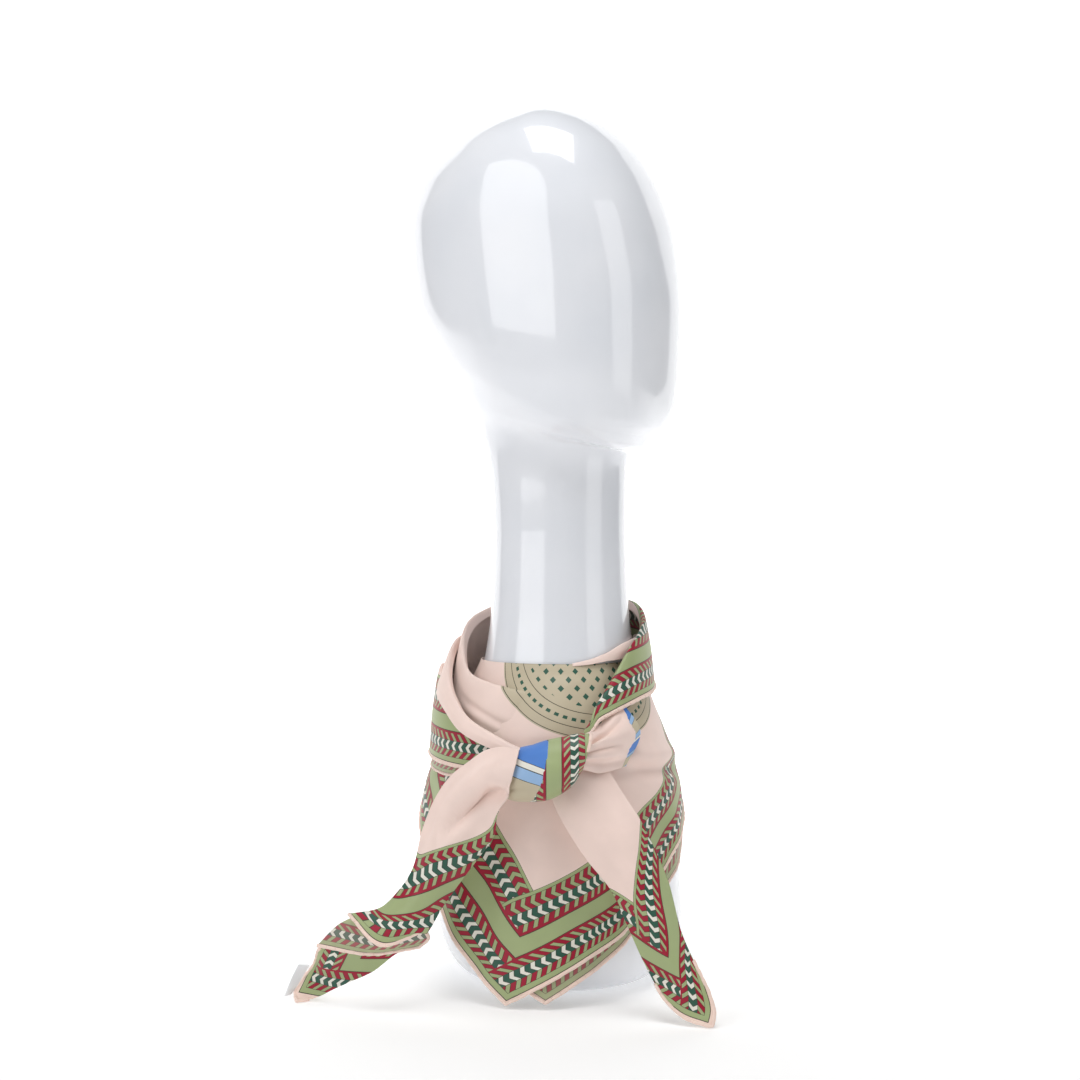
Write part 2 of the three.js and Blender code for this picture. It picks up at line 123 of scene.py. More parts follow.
def creased(grid, creases):
    # soft troughs and ridges laid on a stretch: s runs along its rows and t across them, both 0 to 1
    if creases is None:
        return grid
    rows, columns = grid.shape[:2]
    length = np.sum(np.linalg.norm(np.diff(grid[:, columns // 2], axis=0), axis=1))
    width = np.mean(np.sum(np.linalg.norm(np.diff(grid, axis=1), axis=2), axis=1))
    s = np.linspace(0, 1, rows)[:, None] * length
    t = np.linspace(0, 1, columns)[None, :] * width
    lift = np.zeros((rows, columns))
    part = np.linspace(0, 1, 28)
    for k in range(len(creases["s0"])):
        c = {name: column[k] for name, column in creases.items()}
        lineS = blend(c["s0"], c["s1"], part) * length
        lineT = (blend(c["t0"], c["t1"], part) + c["bow"] * 4 * part * (1 - part)) * width
        gap = (s[..., None] - lineS) ** 2 + (t[..., None] - lineT) ** 2
        nearest = gap.argmin(axis=2)
        away = np.sqrt(gap.min(axis=2)) / c["width"]
        taper = np.sin(np.pi * np.clip(part[nearest] * 0.86 + 0.07, 0, 1)) ** 0.7
        lift += c["depth"] * np.exp(-away ** 2) * taper
    return grid + gridNormals(grid) * outwardSign(grid) * lift[..., None]


def colour(red, green, blue):
    parts = [v / 255 for v in (red, green, blue)]
    linear = [v / 12.92 if v <= 0.04 else ((v + 0.055) / 1.055) ** 2.4 for v in parts]
    return (*linear, 1)


# silk and its printed border
silkColours = {
    "blush": colour(243, 219, 209),
    "sage": colour(163, 176, 127),
    "crimson": colour(160, 8, 46),
    "green": colour(40, 88, 71),
    "cream": colour(232, 229, 218),
    "line": colour(52, 50, 38),
    "hem": colour(243, 217, 204),
    "beige": colour(196, 184, 158),
    "blue": colour(74, 128, 206),
    "paleBlue": colour(150, 184, 222),
}
border = {
    "reach": 0.064,  # how far in from the hem the border is drawn
    "period": 0.0062,  # one crimson and one sage stripe
    "darkShare": 0.54,  # how much of a period the darker stripe takes
    "outline": 0.032,  # thin line round each stripe, as a share of the period
    "wrongSide": 0.2,  # how far the wrong side fades
}
# The border from the hem inwards: where each band starts, its darker and paler stripe, whether it
# is striped, the part of the border it belongs to, and how far the zigzag has run there.
borderBands = [
    (0.0, "hem", "hem", 0, 0),
    (1.5, "line", "line", 0, 0),
    (1.9, "sage", "sage", 0, 0),
    (4.9, "line", "line", 0, 0),
    (5.2, "crimson", "sage", 1, 1),
    (9.5, "line", "line", 0, 1),
    (9.75, "green", "cream", 1, 1),
    (15.5, "line", "line", 0, 1),
    (15.75, "crimson", "sage", 1, 1),
    (20.1, "crimson", "crimson", 0, 1),
    (21.5, "line", "line", 0, 2),
    (21.8, "sage", "sage", 0, 2),
    (31.5, "line", "line", 0, 2),
    (31.8, "crimson", "crimson", 0, 2),
    (33.3, "crimson", "sage", 1, 3),
    (37.5, "line", "line", 0, 3),
    (37.75, "green", "cream", 1, 3),
    (43.8, "line", "line", 0, 3),
    (44.05, "crimson", "sage", 1, 3),
    (50.9, "line", "line", 0, 3),
    (51.2, "sage", "sage", 0, 3),
    (52.8, "line", "line", 0, 3),
    (53.1, "blush", "blush", 0, 4),
]
zigzag = [(5.2, 0), (9.6, 4.0), (12.6, 1.9), (15.6, 4.0), (20.1, 0),
          (33.3, 0), (37.6, 4.0), (40.8, 1.8), (43.9, 4.0), (47.5, 1.5), (51, 4.0)]
zigzagTop = 5.0


def put(tree, socket, value):
    if isinstance(value, bpy.types.NodeSocket):
        tree.links.new(value, socket)
    else:
        socket.default_value = value


def sums(tree, operation, *values):
    node = tree.nodes.new("ShaderNodeMath")
    node.operation = operation
    for socket, value in zip(node.inputs, values):
        put(tree, socket, value)
    return node.outputs[0]


def mixed(tree, part, first, second, kind="MIX"):
    node = tree.nodes.new("ShaderNodeMix")
    node.data_type = "RGBA"
    node.blend_type = kind
    put(tree, node.inputs[0], part)
    put(tree, node.inputs[6], first)
    put(tree, node.inputs[7], second)
    return node.outputs[2]


def ramp(tree, value, stops, flow="CONSTANT"):
    node = tree.nodes.new("ShaderNodeValToRGB")
    node.color_ramp.interpolation = flow
    elements = node.color_ramp.elements
    while len(elements) > 1:
        elements.remove(elements[-1])
    for k, (place, tone) in enumerate(stops):
        element = elements[0] if k == 0 else elements.new(place)
        element.position = place
        element.color = tone if hasattr(tone, "__len__") else (tone, tone, tone, 1)
    put(tree, node.inputs[0], value)
    return node.outputs[0]


def borderArm(tree, distance, along, away):
    # one arm of the border: distance from its hem, and along it
    # away is 1 or -1, the way the zigzag points
    inward = sums(tree, "DIVIDE", distance, border["reach"])
    share = milli / border["reach"]
    darker = ramp(tree, inward, [(b[0] * share, silkColours[b[1]]) for b in borderBands])
    paler = ramp(tree, inward, [(b[0] * share, silkColours[b[2]]) for b in borderBands])
    striped = ramp(tree, inward, [(b[0] * share, float(b[3])) for b in borderBands])
    zig = ramp(tree, inward, [(z[0] * share, z[1] / zigzagTop) for z in zigzag], "LINEAR")
    run = sums(tree, "DIVIDE", along, border["period"])
    lean = sums(tree, "MULTIPLY", zig, -away * zigzagTop * milli / border["period"])
    stripe = sums(tree, "FRACT", sums(tree, "ADD", run, lean))
    drawn = mixed(tree, sums(tree, "LESS_THAN", stripe, border["darkShare"]), paler, darker)
    middleEdge = sums(tree, "ABSOLUTE", sums(tree, "SUBTRACT", stripe, border["darkShare"]))
    endEdge = sums(tree, "MINIMUM", stripe, sums(tree, "SUBTRACT", 1.0, stripe))
    nearEdge = sums(tree, "LESS_THAN", sums(tree, "MINIMUM", middleEdge, endEdge), border["outline"])
    return mixed(tree, sums(tree, "MULTIPLY", nearEdge, striped), drawn, silkColours["line"])


def borderPart(tree, distance):
    inward = sums(tree, "DIVIDE", distance, border["reach"])
    share = milli / border["reach"]
    return ramp(tree, inward, [(b[0] * share, b[4] / 4) for b in borderBands])


def borderPrint(tree, p, q):
    # p and q are the distances from the two hems that meet at a corner of the square
    nearest = sums(tree, "MINIMUM", p, q)
    through = borderArm(tree, q, p, 1)
    butting = borderArm(tree, p, q, -1)
    part = borderPart(tree, nearest)
    apart = sums(tree, "ABSOLUTE", sums(tree, "SUBTRACT", borderPart(tree, q), part))
    runsThrough = sums(tree, "LESS_THAN", apart, 0.1)
    # the plain bands turn the corner on a mitre; the striped ones butt against the arm that runs through
    plain = sums(tree, "LESS_THAN", sums(tree, "PINGPONG", part, 0.25), 0.1)
    mitred = sums(tree, "MULTIPLY", plain, sums(tree, "LESS_THAN", p, q))
    useThrough = sums(tree, "MULTIPLY", runsThrough, sums(tree, "SUBTRACT", 1.0, mitred))
    return mixed(tree, useThrough, butting, through)


# the middle of the square: a panel with a ringed edge and small diamonds, and plain coloured bars
centreDesign = {
    "panelX": 0.026, "panelY": 0.246, "panelRadius": 0.080,
    "rings": (0.0790, 0.0735, 0.0640),
    "diamondStep": 0.0105, "diamondSize": 0.0021,
    "barsFrom": 0.15,
}


def centrePrint(tree, u, v, ground):
    c = centreDesign
    fromX = sums(tree, "SUBTRACT", u, c["panelX"])
    fromY = sums(tree, "SUBTRACT", v, c["panelY"])
    squares = [sums(tree, "MULTIPLY", t, t) for t in (fromX, fromY)]
    squared = sums(tree, "ADD", *squares)
    radius = sums(tree, "SQRT", squared)
    panel = sums(tree, "LESS_THAN", radius, c["panelRadius"])
    drawn = mixed(tree, panel, ground, silkColours["beige"])
    for ring in c["rings"]:
        near = sums(tree, "LESS_THAN", sums(tree, "ABSOLUTE", sums(tree, "SUBTRACT", radius, ring)), 0.00022)
        drawn = mixed(tree, near, drawn, silkColours["line"])
    turned = [sums(tree, "ADD", fromX, fromY), sums(tree, "SUBTRACT", fromX, fromY)]
    cell = [sums(tree, "PINGPONG", t, c["diamondStep"] / 2) for t in turned]
    spot = sums(tree, "MAXIMUM", cell[0], cell[1])
    inner = sums(tree, "LESS_THAN", radius, c["rings"][2] - 0.004)
    marks = sums(tree, "MULTIPLY", sums(tree, "LESS_THAN", spot, c["diamondSize"]), inner)
    drawn = mixed(tree, marks, drawn, silkColours["green"])
    run = sums(tree, "MULTIPLY", sums(tree, "ARCTAN2", fromY, fromX), 1 / (2 * math.pi) * 84)
    dash = sums(tree, "LESS_THAN", sums(tree, "FRACT", run), 0.5)
    track = sums(tree, "LESS_THAN", sums(tree, "ABSOLUTE", sums(tree, "SUBTRACT", radius, 0.0690)), 0.0010)
    drawn = mixed(tree, sums(tree, "MULTIPLY", dash, track), drawn, silkColours["green"])
    # bars
    inBars = sums(tree, "GREATER_THAN", u, c["barsFrom"])
    slant = sums(tree, "ADD", u, sums(tree, "MULTIPLY", v, 0.55))
    place = sums(tree, "FRACT", sums(tree, "DIVIDE", slant, 0.052))
    names = [(0.0, "paleBlue"), (0.12, "line"), (0.13, "blue"), (0.45, "line"), (0.46, "cream"), (0.53, "line"),
             (0.54, "paleBlue"), (0.68, "line"), (0.69, "beige"), (0.985, "line")]
    bars = ramp(tree, place, [(s, silkColours[n]) for s, n in names])
    return mixed(tree, inBars, drawn, bars)


def silkMaterial(name, wrongSide=False, printed=True, plain="blush"):
    material = bpy.data.materials.new(name)
    material.use_nodes = True
    tree = material.node_tree
    shader = tree.nodes["Principled BSDF"]
    objectPlace = tree.nodes.new("ShaderNodeTexCoord").outputs["Object"]
    if printed:
        cut = tree.nodes.new("ShaderNodeUVMap")
        cut.uv_map = "cut"
        art = tree.nodes.new("ShaderNodeUVMap")
        art.uv_map = "art"
        cutParts = tree.nodes.new("ShaderNodeSeparateXYZ")
        artParts = tree.nodes.new("ShaderNodeSeparateXYZ")
        put(tree, cutParts.inputs[0], cut.outputs[0])
        put(tree, artParts.inputs[0], art.outputs[0])
        ground = borderPrint(tree, cutParts.outputs[0], cutParts.outputs[1])
        hasArt = sums(tree, "GREATER_THAN", artParts.outputs[0], -0.5)
        centre = centrePrint(tree, artParts.outputs[0], artParts.outputs[1], ground)
        base = mixed(tree, hasArt, ground, centre)
    else:
        base = silkColours[plain]
    if wrongSide:
        base = mixed(tree, border["wrongSide"], base, colour(206, 190, 178))
    # the dye is a little uneven
    cloud = tree.nodes.new("ShaderNodeTexNoise")
    cloud.inputs["Scale"].default_value = 45
    cloud.inputs["Detail"].default_value = 3
    put(tree, cloud.inputs["Vector"], objectPlace)
    tone = ramp(tree, cloud.outputs["Fac"], [(0.3, 0.93), (0.7, 1.0)], "LINEAR")
    base = mixed(tree, 1.0, base, tone, "MULTIPLY")
    put(tree, shader.inputs["Base Color"], base)
    # twill: fine slanting ribs, with a slight slub
    twill = tree.nodes.new("ShaderNodeTexWave")
    twill.wave_type = "BANDS"
    twill.bands_direction = "DIAGONAL"
    twill.inputs["Scale"].default_value = 900
    twill.inputs["Distortion"].default_value = 0.6
    twill.inputs["Detail"].default_value = 1
    slub = tree.nodes.new("ShaderNodeTexNoise")
    slub.inputs["Scale"].default_value = 1400
    slub.inputs["Detail"].default_value = 2
    if printed:
        put(tree, twill.inputs["Vector"], cut.outputs[0])
        put(tree, slub.inputs["Vector"], cut.outputs[0])
    else:
        put(tree, twill.inputs["Vector"], objectPlace)
        put(tree, slub.inputs["Vector"], objectPlace)
    weave = sums(tree, "ADD", twill.outputs["Fac"], sums(tree, "MULTIPLY", slub.outputs["Fac"], 0.6))
    bump = tree.nodes.new("ShaderNodeBump")
    bump.inputs["Strength"].default_value = 0.16
    bump.inputs["Distance"].default_value = 0.00012
    put(tree, bump.inputs["Height"], weave)
    put(tree, shader.inputs["Normal"], bump.outputs[0])
    rough = ramp(tree, cloud.outputs["Fac"], [(0.3, 0.42), (0.7, 0.52)], "LINEAR")
    put(tree, shader.inputs["Roughness"], rough)
    shader.inputs["Specular IOR Level"].default_value = 0.42
    shader.inputs["Sheen Weight"].default_value = 0.18
    shader.inputs["Sheen Roughness"].default_value = 0.35
    shader.inputs["Sheen Tint"].default_value = colour(255, 240, 232)
    return material


silkFace = silkMaterial("silkFace")
silkWrong = silkMaterial("silkWrongSide", wrongSide=True)
hemSilk = silkMaterial("hemSilk", printed=False, plain="hem")
print("silk materials ready")


def meshObject(name, points, faces, materials):
    mesh = bpy.data.meshes.new(name)
    mesh.from_pydata([tuple(p) for p in points], [], faces)
    for material in materials:
        mesh.materials.append(material)
    mesh.polygons.foreach_set("use_smooth", [True] * len(faces))
    mesh.update()
    thing = bpy.data.objects.new(name, mesh)
    bpy.context.scene.collection.objects.link(thing)
    return thing


silkShell = {"wall": 0.7}  # a thin shell inside the solid's wall


def silkPiece(name, node, grid, p, q, art=None, outside=None, inside=None, wall=None):
    # a closed thin shell over a grid of points in millimetres, with the printed face outwards
    outside = outside or silkFace
    inside = inside or silkWrong
    wall = wall or silkShell["wall"]
    rows, columns = grid.shape[:2]
    total = rows * columns
    lift = gridNormals(grid) * outwardSign(grid) * wall / 2
    points = np.concatenate([(grid + lift).reshape(-1, 3), (grid - lift).reshape(-1, 3)]) * milli
    number = np.arange(total).reshape(rows, columns)
    a, b = number[:-1, :-1].ravel(), number[1:, :-1].ravel()
    c, d = number[1:, 1:].ravel(), number[:-1, 1:].ravel()
    outer = np.stack([a, b, c, d], axis=1)
    inner = np.stack([a, d, c, b], axis=1) + total
    rim = np.concatenate([number[:, 0], number[-1, 1:], number[-2::-1, -1], number[0, -2::-1]])
    edge = np.stack([rim[:-1], rim[:-1] + total, rim[1:] + total, rim[1:]], axis=1)
    if outwardSign(grid) < 0:
        outer, inner, edge = outer[:, ::-1], inner[:, ::-1], edge[:, ::-1]
    faces = np.concatenate([outer, inner, edge])
    thing = meshObject(name, points, faces.tolist(), [outside, inside])
    mesh = thing.data
    side = np.zeros(len(faces), int)
    side[len(outer):len(outer) + len(inner)] = 1
    mesh.polygons.foreach_set("material_index", side)
    corner = faces.ravel() % total
    cutMap = mesh.uv_layers.new(name="cut")
    cutMap.data.foreach_set("uv", np.stack([p.ravel()[corner], q.ravel()[corner]], axis=1).ravel() * milli)
    u, v = (np.full(grid.shape[:2], -1000.0),) * 2 if art is None else art
    artMap = mesh.uv_layers.new(name="art")
    artMap.data.foreach_set("uv", np.stack([u.ravel()[corner], v.ravel()[corner]], axis=1).ravel() * milli)
    mesh.update()
    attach(thing, "root")
    if node:
        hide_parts(node)
    return thing


def arcAcross(grid, fromLast=True):
    # how far each point lies along its row from the last (or first) point
    step = np.linalg.norm(np.diff(grid, axis=1), axis=2)
    run = np.concatenate([np.zeros((len(grid), 1)), np.cumsum(step, axis=1)], axis=1)
    return run[:, -1:] - run if fromLast else run


def clothArea(grid):
    along = np.gradient(grid, axis=0)
    across = np.gradient(grid, axis=1)
    cells = (grid.shape[0] - 1) * (grid.shape[1] - 1)
    return np.linalg.norm(np.cross(along, across), axis=2).mean() * cells


# rolled hem: follows an edge of the cloth, pinched where each hand stitch holds it
hemSizes = {
    "radius": 1.25, "step": 0.9, "waviness": 0.5,
    "stitchGap": 6.2, "pinch": 0.16, "thread": 0.13,
}


def threadMaterial():
    material = bpy.data.materials.new("hemThread")
    material.use_nodes = True
    tree = material.node_tree
    shader = tree.nodes["Principled BSDF"]
    place = tree.nodes.new("ShaderNodeTexCoord").outputs["Object"]
    strand = tree.nodes.new("ShaderNodeTexNoise")
    strand.inputs["Scale"].default_value = 2500
    put(tree, strand.inputs["Vector"], place)
    tones = [(0.35, colour(214, 178, 164)), (0.65, colour(232, 200, 186))]
    put(tree, shader.inputs["Base Color"], ramp(tree, strand.outputs["Fac"], tones, "LINEAR"))
    shader.inputs["Roughness"].default_value = 0.6
    return material


def hemTree():
    tree = bpy.data.node_groups.new("rolledHem", "GeometryNodeTree")
    face = tree.interface
    face.new_socket("Edge", in_out="INPUT", socket_type="NodeSocketGeometry")
    for name in ("Radius", "Step", "Waviness", "Stitch gap", "Pinch", "Thread"):
        face.new_socket(name, in_out="INPUT", socket_type="NodeSocketFloat")
    face.new_socket("Silk", in_out="INPUT", socket_type="NodeSocketMaterial")
    face.new_socket("Thread colour", in_out="INPUT", socket_type="NodeSocketMaterial")
    face.new_socket("Hem", in_out="OUTPUT", socket_type="NodeSocketGeometry")
    nodes, links = tree.nodes, tree.links
    given = nodes.new("NodeGroupInput").outputs
    toCurve = nodes.new("GeometryNodeMeshToCurve")
    links.new(given["Edge"], toCurve.inputs["Mesh"])
    even = nodes.new("GeometryNodeResampleCurve")
    even.mode = "LENGTH"
    links.new(toCurve.outputs["Curve"], even.inputs["Curve"])
    links.new(given["Step"], even.inputs["Length"])
    # uneven by hand
    place = nodes.new("GeometryNodeInputPosition")
    noise = nodes.new("ShaderNodeTexNoise")
    noise.inputs["Scale"].default_value = 110
    noise.inputs["Detail"].default_value = 1
    links.new(place.outputs[0], noise.inputs["Vector"])
    centred = nodes.new("ShaderNodeVectorMath")
    centred.operation = "SUBTRACT"
    centred.inputs[1].default_value = (0.5, 0.5, 0.5)
    links.new(noise.outputs["Color"], centred.inputs[0])
    scaled = nodes.new("ShaderNodeVectorMath")
    scaled.operation = "SCALE"
    links.new(centred.outputs[0], scaled.inputs[0])
    links.new(given["Waviness"], scaled.inputs["Scale"])
    moved = nodes.new("GeometryNodeSetPosition")
    links.new(even.outputs[0], moved.inputs["Geometry"])
    links.new(scaled.outputs[0], moved.inputs["Offset"])
    # pinched at each stitch
    along = nodes.new("GeometryNodeSplineParameter")
    phase = sums(tree, "DIVIDE", along.outputs["Length"], given["Stitch gap"])
    wave = sums(tree, "ABSOLUTE", sums(tree, "SINE", sums(tree, "MULTIPLY", phase, math.pi)))
    pinch = sums(tree, "MULTIPLY", given["Pinch"], sums(tree, "SUBTRACT", 1.0, wave))
    swell = sums(tree, "SUBTRACT", 1.0, pinch)
    pinched = nodes.new("GeometryNodeSetCurveRadius")
    links.new(moved.outputs[0], pinched.inputs["Curve"])
    links.new(swell, pinched.inputs["Radius"])
    profile = nodes.new("GeometryNodeCurvePrimitiveCircle")
    profile.inputs["Resolution"].default_value = 10
    links.new(given["Radius"], profile.inputs["Radius"])
    tube = nodes.new("GeometryNodeCurveToMesh")
    tube.inputs["Fill Caps"].default_value = True
    links.new(pinched.outputs[0], tube.inputs["Curve"])
    links.new(profile.outputs[0], tube.inputs["Profile Curve"])
    if "Scale" in tube.inputs:
        links.new(swell, tube.inputs["Scale"])
    silk = nodes.new("GeometryNodeSetMaterial")
    links.new(tube.outputs[0], silk.inputs["Geometry"])
    links.new(given["Silk"], silk.inputs["Material"])
    # thread over the roll at each stitch
    spaced = nodes.new("GeometryNodeResampleCurve")
    spaced.mode = "LENGTH"
    links.new(moved.outputs[0], spaced.inputs["Curve"])
    links.new(given["Stitch gap"], spaced.inputs["Length"])
    loop = nodes.new("GeometryNodeCurvePrimitiveCircle")
    loop.inputs["Resolution"].default_value = 10
    links.new(sums(tree, "MULTIPLY", given["Radius"], 0.93), loop.inputs["Radius"])
    strand = nodes.new("GeometryNodeCurvePrimitiveCircle")
    strand.inputs["Resolution"].default_value = 4
    links.new(given["Thread"], strand.inputs["Radius"])
    ring = nodes.new("GeometryNodeCurveToMesh")
    links.new(loop.outputs[0], ring.inputs["Curve"])
    links.new(strand.outputs[0], ring.inputs["Profile Curve"])
    tangent = nodes.new("GeometryNodeInputTangent")
    facing = nodes.new("FunctionNodeAlignRotationToVector")
    facing.axis = "Z"
    links.new(tangent.outputs[0], facing.inputs["Vector"])
    tilt = nodes.new("FunctionNodeRotateRotation")
    tilt.rotation_space = "LOCAL"
    tilt.inputs["Rotate By"].default_value = (0.35, 0, 0)
    links.new(facing.outputs[0], tilt.inputs["Rotation"])
    stitches = nodes.new("GeometryNodeInstanceOnPoints")
    links.new(spaced.outputs[0], stitches.inputs["Points"])
    links.new(ring.outputs[0], stitches.inputs["Instance"])
    links.new(tilt.outputs[0], stitches.inputs["Rotation"])
    real = nodes.new("GeometryNodeRealizeInstances")
    links.new(stitches.outputs[0], real.inputs[0])
    thread = nodes.new("GeometryNodeSetMaterial")
    links.new(real.outputs[0], thread.inputs["Geometry"])
    links.new(given["Thread colour"], thread.inputs["Material"])
    both = nodes.new("GeometryNodeJoinGeometry")
    links.new(thread.outputs[0], both.inputs[0])
    links.new(silk.outputs[0], both.inputs[0])
    soft = nodes.new("GeometryNodeSetShadeSmooth")
    links.new(both.outputs[0], soft.inputs[0])
    done = nodes.new("NodeGroupOutput")
    links.new(soft.outputs[0], done.inputs[0])
    return tree


hemNodes = hemTree()
hemThread = threadMaterial()


def rolledHem(name, path, radius=None):
    # path: points along the cloth's edge, in millimetres
    edgeMesh = bpy.data.meshes.new(name)
    links = [(k, k + 1) for k in range(len(path) - 1)]
    edgeMesh.from_pydata([tuple(p * milli) for p in path], links, [])
    thing = bpy.data.objects.new(name, edgeMesh)
    bpy.context.scene.collection.objects.link(thing)
    modifier = thing.modifiers.new("rolledHem", "NODES")
    modifier.node_group = hemNodes
    values = {
        "Radius": (radius or hemSizes["radius"]) * milli, "Step": hemSizes["step"] * milli,
        "Waviness": hemSizes["waviness"] * milli * 2, "Stitch gap": hemSizes["stitchGap"] * milli,
        "Pinch": hemSizes["pinch"], "Thread": hemSizes["thread"] * milli,
        "Silk": hemSilk, "Thread colour": hemThread,
    }
    for item in hemNodes.interface.items_tree:
        if item.in_out == "INPUT" and item.name in values:
            modifier[item.identifier] = values[item.name]
    bpy.context.view_layer.update()
    evaluated = thing.evaluated_get(bpy.context.evaluated_depsgraph_get())
    made = bpy.data.meshes.new_from_object(evaluated)
    thing.modifiers.clear()
    thing.data = made
    made.name = name
    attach(thing, "root")
    return thing


# the stand
standSizes = {"round": 144, "faceTurn": 60, "headSteps": 150, "crownZ": 591, "crownBack": 9.5}
bellRows = table("z radius", [
    (0, 52), (4, 65), (14, 75), (28, 81.2), (45, 83.3), (62, 83.2), (75, 82.8), (97, 81.3), (115, 79.4),
    (128, 77.3), (154, 69.3), (168, 64.3), (185, 58), (205, 53.8), (225, 50), (245, 47.4), (275, 45.8),
])
headRows = table("z tilt back front half square", [
    (300, 0, 45.4, 45, 44.8, 2),
    (335, -0.04, 48, 45.5, 45, 2),
    (362, -0.18, 57, 48, 47, 2),
    (374, -0.35, 69, 54, 55.5, 2.2),
    (384, -0.44, 78, 58.5, 62, 2.4),
    (391, -0.45, 86, 62.5, 65.5, 2.5),
    (402, -0.43, 94, 71, 68.5, 2.5),
    (414, -0.38, 101, 76.5, 70.5, 2.5),
    (430, -0.33, 107, 79, 72.5, 2.5),
    (470, -0.2, 112, 80.5, 75.5, 2.5),
    (505, -0.1, 113, 75.5, 77, 2.5),
    (535, -0.04, 105.5, 66, 74, 2.3),
    (560, 0, 88, 51.5, 65, 2.1),
    (577, 0, 65, 34, 49, 2),
    (586.5, 0, 40, 15, 30, 2),
    (590.3, 0, 20, 0.5, 12, 2),
])


def glossPaint():
    material = bpy.data.materials.new("standGloss")
    material.use_nodes = True
    tree = material.node_tree
    shader = tree.nodes["Principled BSDF"]
    place = tree.nodes.new("ShaderNodeTexCoord").outputs["Object"]
    cloud = tree.nodes.new("ShaderNodeTexNoise")
    cloud.inputs["Scale"].default_value = 14
    cloud.inputs["Detail"].default_value = 2
    put(tree, cloud.inputs["Vector"], place)
    tones = [(0.35, colour(231, 234, 240)), (0.65, colour(237, 239, 244))]
    put(tree, shader.inputs["Base Color"], ramp(tree, cloud.outputs["Fac"], tones, "LINEAR"))
    ripple = tree.nodes.new("ShaderNodeTexNoise")
    ripple.inputs["Scale"].default_value = 60
    put(tree, ripple.inputs["Vector"], place)
    bump = tree.nodes.new("ShaderNodeBump")
    bump.inputs["Strength"].default_value = 0.03
    bump.inputs["Distance"].default_value = 0.001
    put(tree, bump.inputs["Height"], ripple.outputs["Fac"])
    put(tree, shader.inputs["Normal"], bump.outputs[0])
    put(tree, shader.inputs["Roughness"],
        ramp(tree, cloud.outputs["Fac"], [(0.3, 0.16), (0.7, 0.2)], "LINEAR"))
    shader.inputs["Coat Weight"].default_value = 1.0
    shader.inputs["Coat Roughness"].default_value = 0.04
    return material


def makeStand():
    turn = math.radians(standSizes["faceTurn"])
    face = np.array([math.sin(turn), -math.cos(turn), 0])
    side = np.array([math.cos(turn), math.sin(turn), 0])
    count = standSizes["round"]
    angle = np.arange(count) / count * 2 * math.pi
    cosine, sine = np.cos(angle), np.sin(angle)

    def ring(z, tilt, back, front, half, square):
        power = np.where(cosine > 0, 2 / square, 1)
        reach = np.where(cosine > 0, front, back) * np.sign(cosine) * np.abs(cosine) ** power
        wide = half * np.sign(sine) * np.abs(sine) ** power
        points = reach[:, None] * face + wide[:, None] * side
        points[:, 2] = z + tilt * reach
        return points

    rings = []
    heights = np.concatenate([[0, 1, 2, 3, 4, 5.5, 7.5, 10, 13], np.linspace(17, 275, 76)])
    for z in heights:
        r = easedCurve(bellRows["z"], bellRows["radius"], z)
        rings.append(ring(z, 0, r, r, r, 2))
    head = sampleRows(headRows, standSizes["headSteps"])
    for k in range(standSizes["headSteps"] + 1):
        rings.append(ring(*(head[name][k] for name in ("z", "tilt", "back", "front", "half", "square"))))
    top = -standSizes["crownBack"] * face + np.array([0, 0, standSizes["crownZ"]])
    points = np.concatenate([np.concatenate(rings), [[0, 0, 0]], [top]]) * milli
    faces = []
    last = (len(rings) - 1) * count
    for k in range(count):
        after = (k + 1) % count
        faces.append((len(points) - 2, after, k))
        faces.append((len(points) - 1, last + k, last + after))
        for i in range(len(rings) - 1):
            low = i * count
            faces.append((low + k, low + after, low + count + after, low + count + k))
    thing = meshObject("displayHead", points, faces, [glossPaint()])
    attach(thing, "root")
    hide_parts("stand")
    return thing


stand = makeStand()
print("stand made")

# the front panel and the layer under it
panel = {"azTip": -21, "tipZ": 3.2, "topZ": 213.8, "coneZ": 440, "coneSlope": 12.9}
frontHemRows = table("az z", [
    (-112, 142), (-95, 119), (-80, 98), (-54.3, 57.4), (-36.6, 24.3), (-21, 3.2), (-8, 15.2), (4.2, 26.4),
    (25.4, 46.4), (49.4, 76.5), (62.7, 94), (75, 103), (88, 112), (97, 121), (106, 131),
])
underHemRows = table("az z", [
    (-30, 36), (-18, 17), (-6.2, 4.6), (4, 15), (14.3, 25), (27.3, 40), (40, 53), (53.5, 66.5), (64.5, 77.5),
    (80, 91), (93, 108), (104, 128.5),
])
drapeRows = table("z side front left", [
    (0, 86, 99, 99), (30, 86, 95.5, 98.5), (60, 85.9, 92.6, 97.5), (90, 85.3, 90.8, 96.5),
    (110, 84.2, 89.5, 95), (128, 82.2, 87.5, 92), (146, 78.3, 84, 86), (168, 70.4, 77, 77),
    (185, 63.5, 69.5, 68), (200, 58.2, 61, 60), (214, 53.5, 53.5, 53.5),
])
panelFolds = table("az low high width depth lean", [
    (-44, 20, 150, 7, 2.6, 0.02),
    (-31, 10, 130, 5, -1.8, 0.05),
    (2, 30, 130, 8, -2.2, -0.04),
    (22, 20, 120, 7, 2.4, -0.05),
    (47, 30, 125, 8, -1.6, 0.06),
    (64, 50, 120, 7, 1.6, 0.02),
    (-70, 60, 140, 8, -2.2, 0.03),
    (-4, 162, 208, 14, 1.8, 0.3),
])
shoulderCrease = {"azFrom": 24, "azTo": 96, "zFrom": 147, "zTo": 139, "width": 5.5, "depth": 4.6, "lip": 2.6}
under = {"azTip": -6.2, "tipZ": 4.6, "cover": 34, "gap": 2.4}


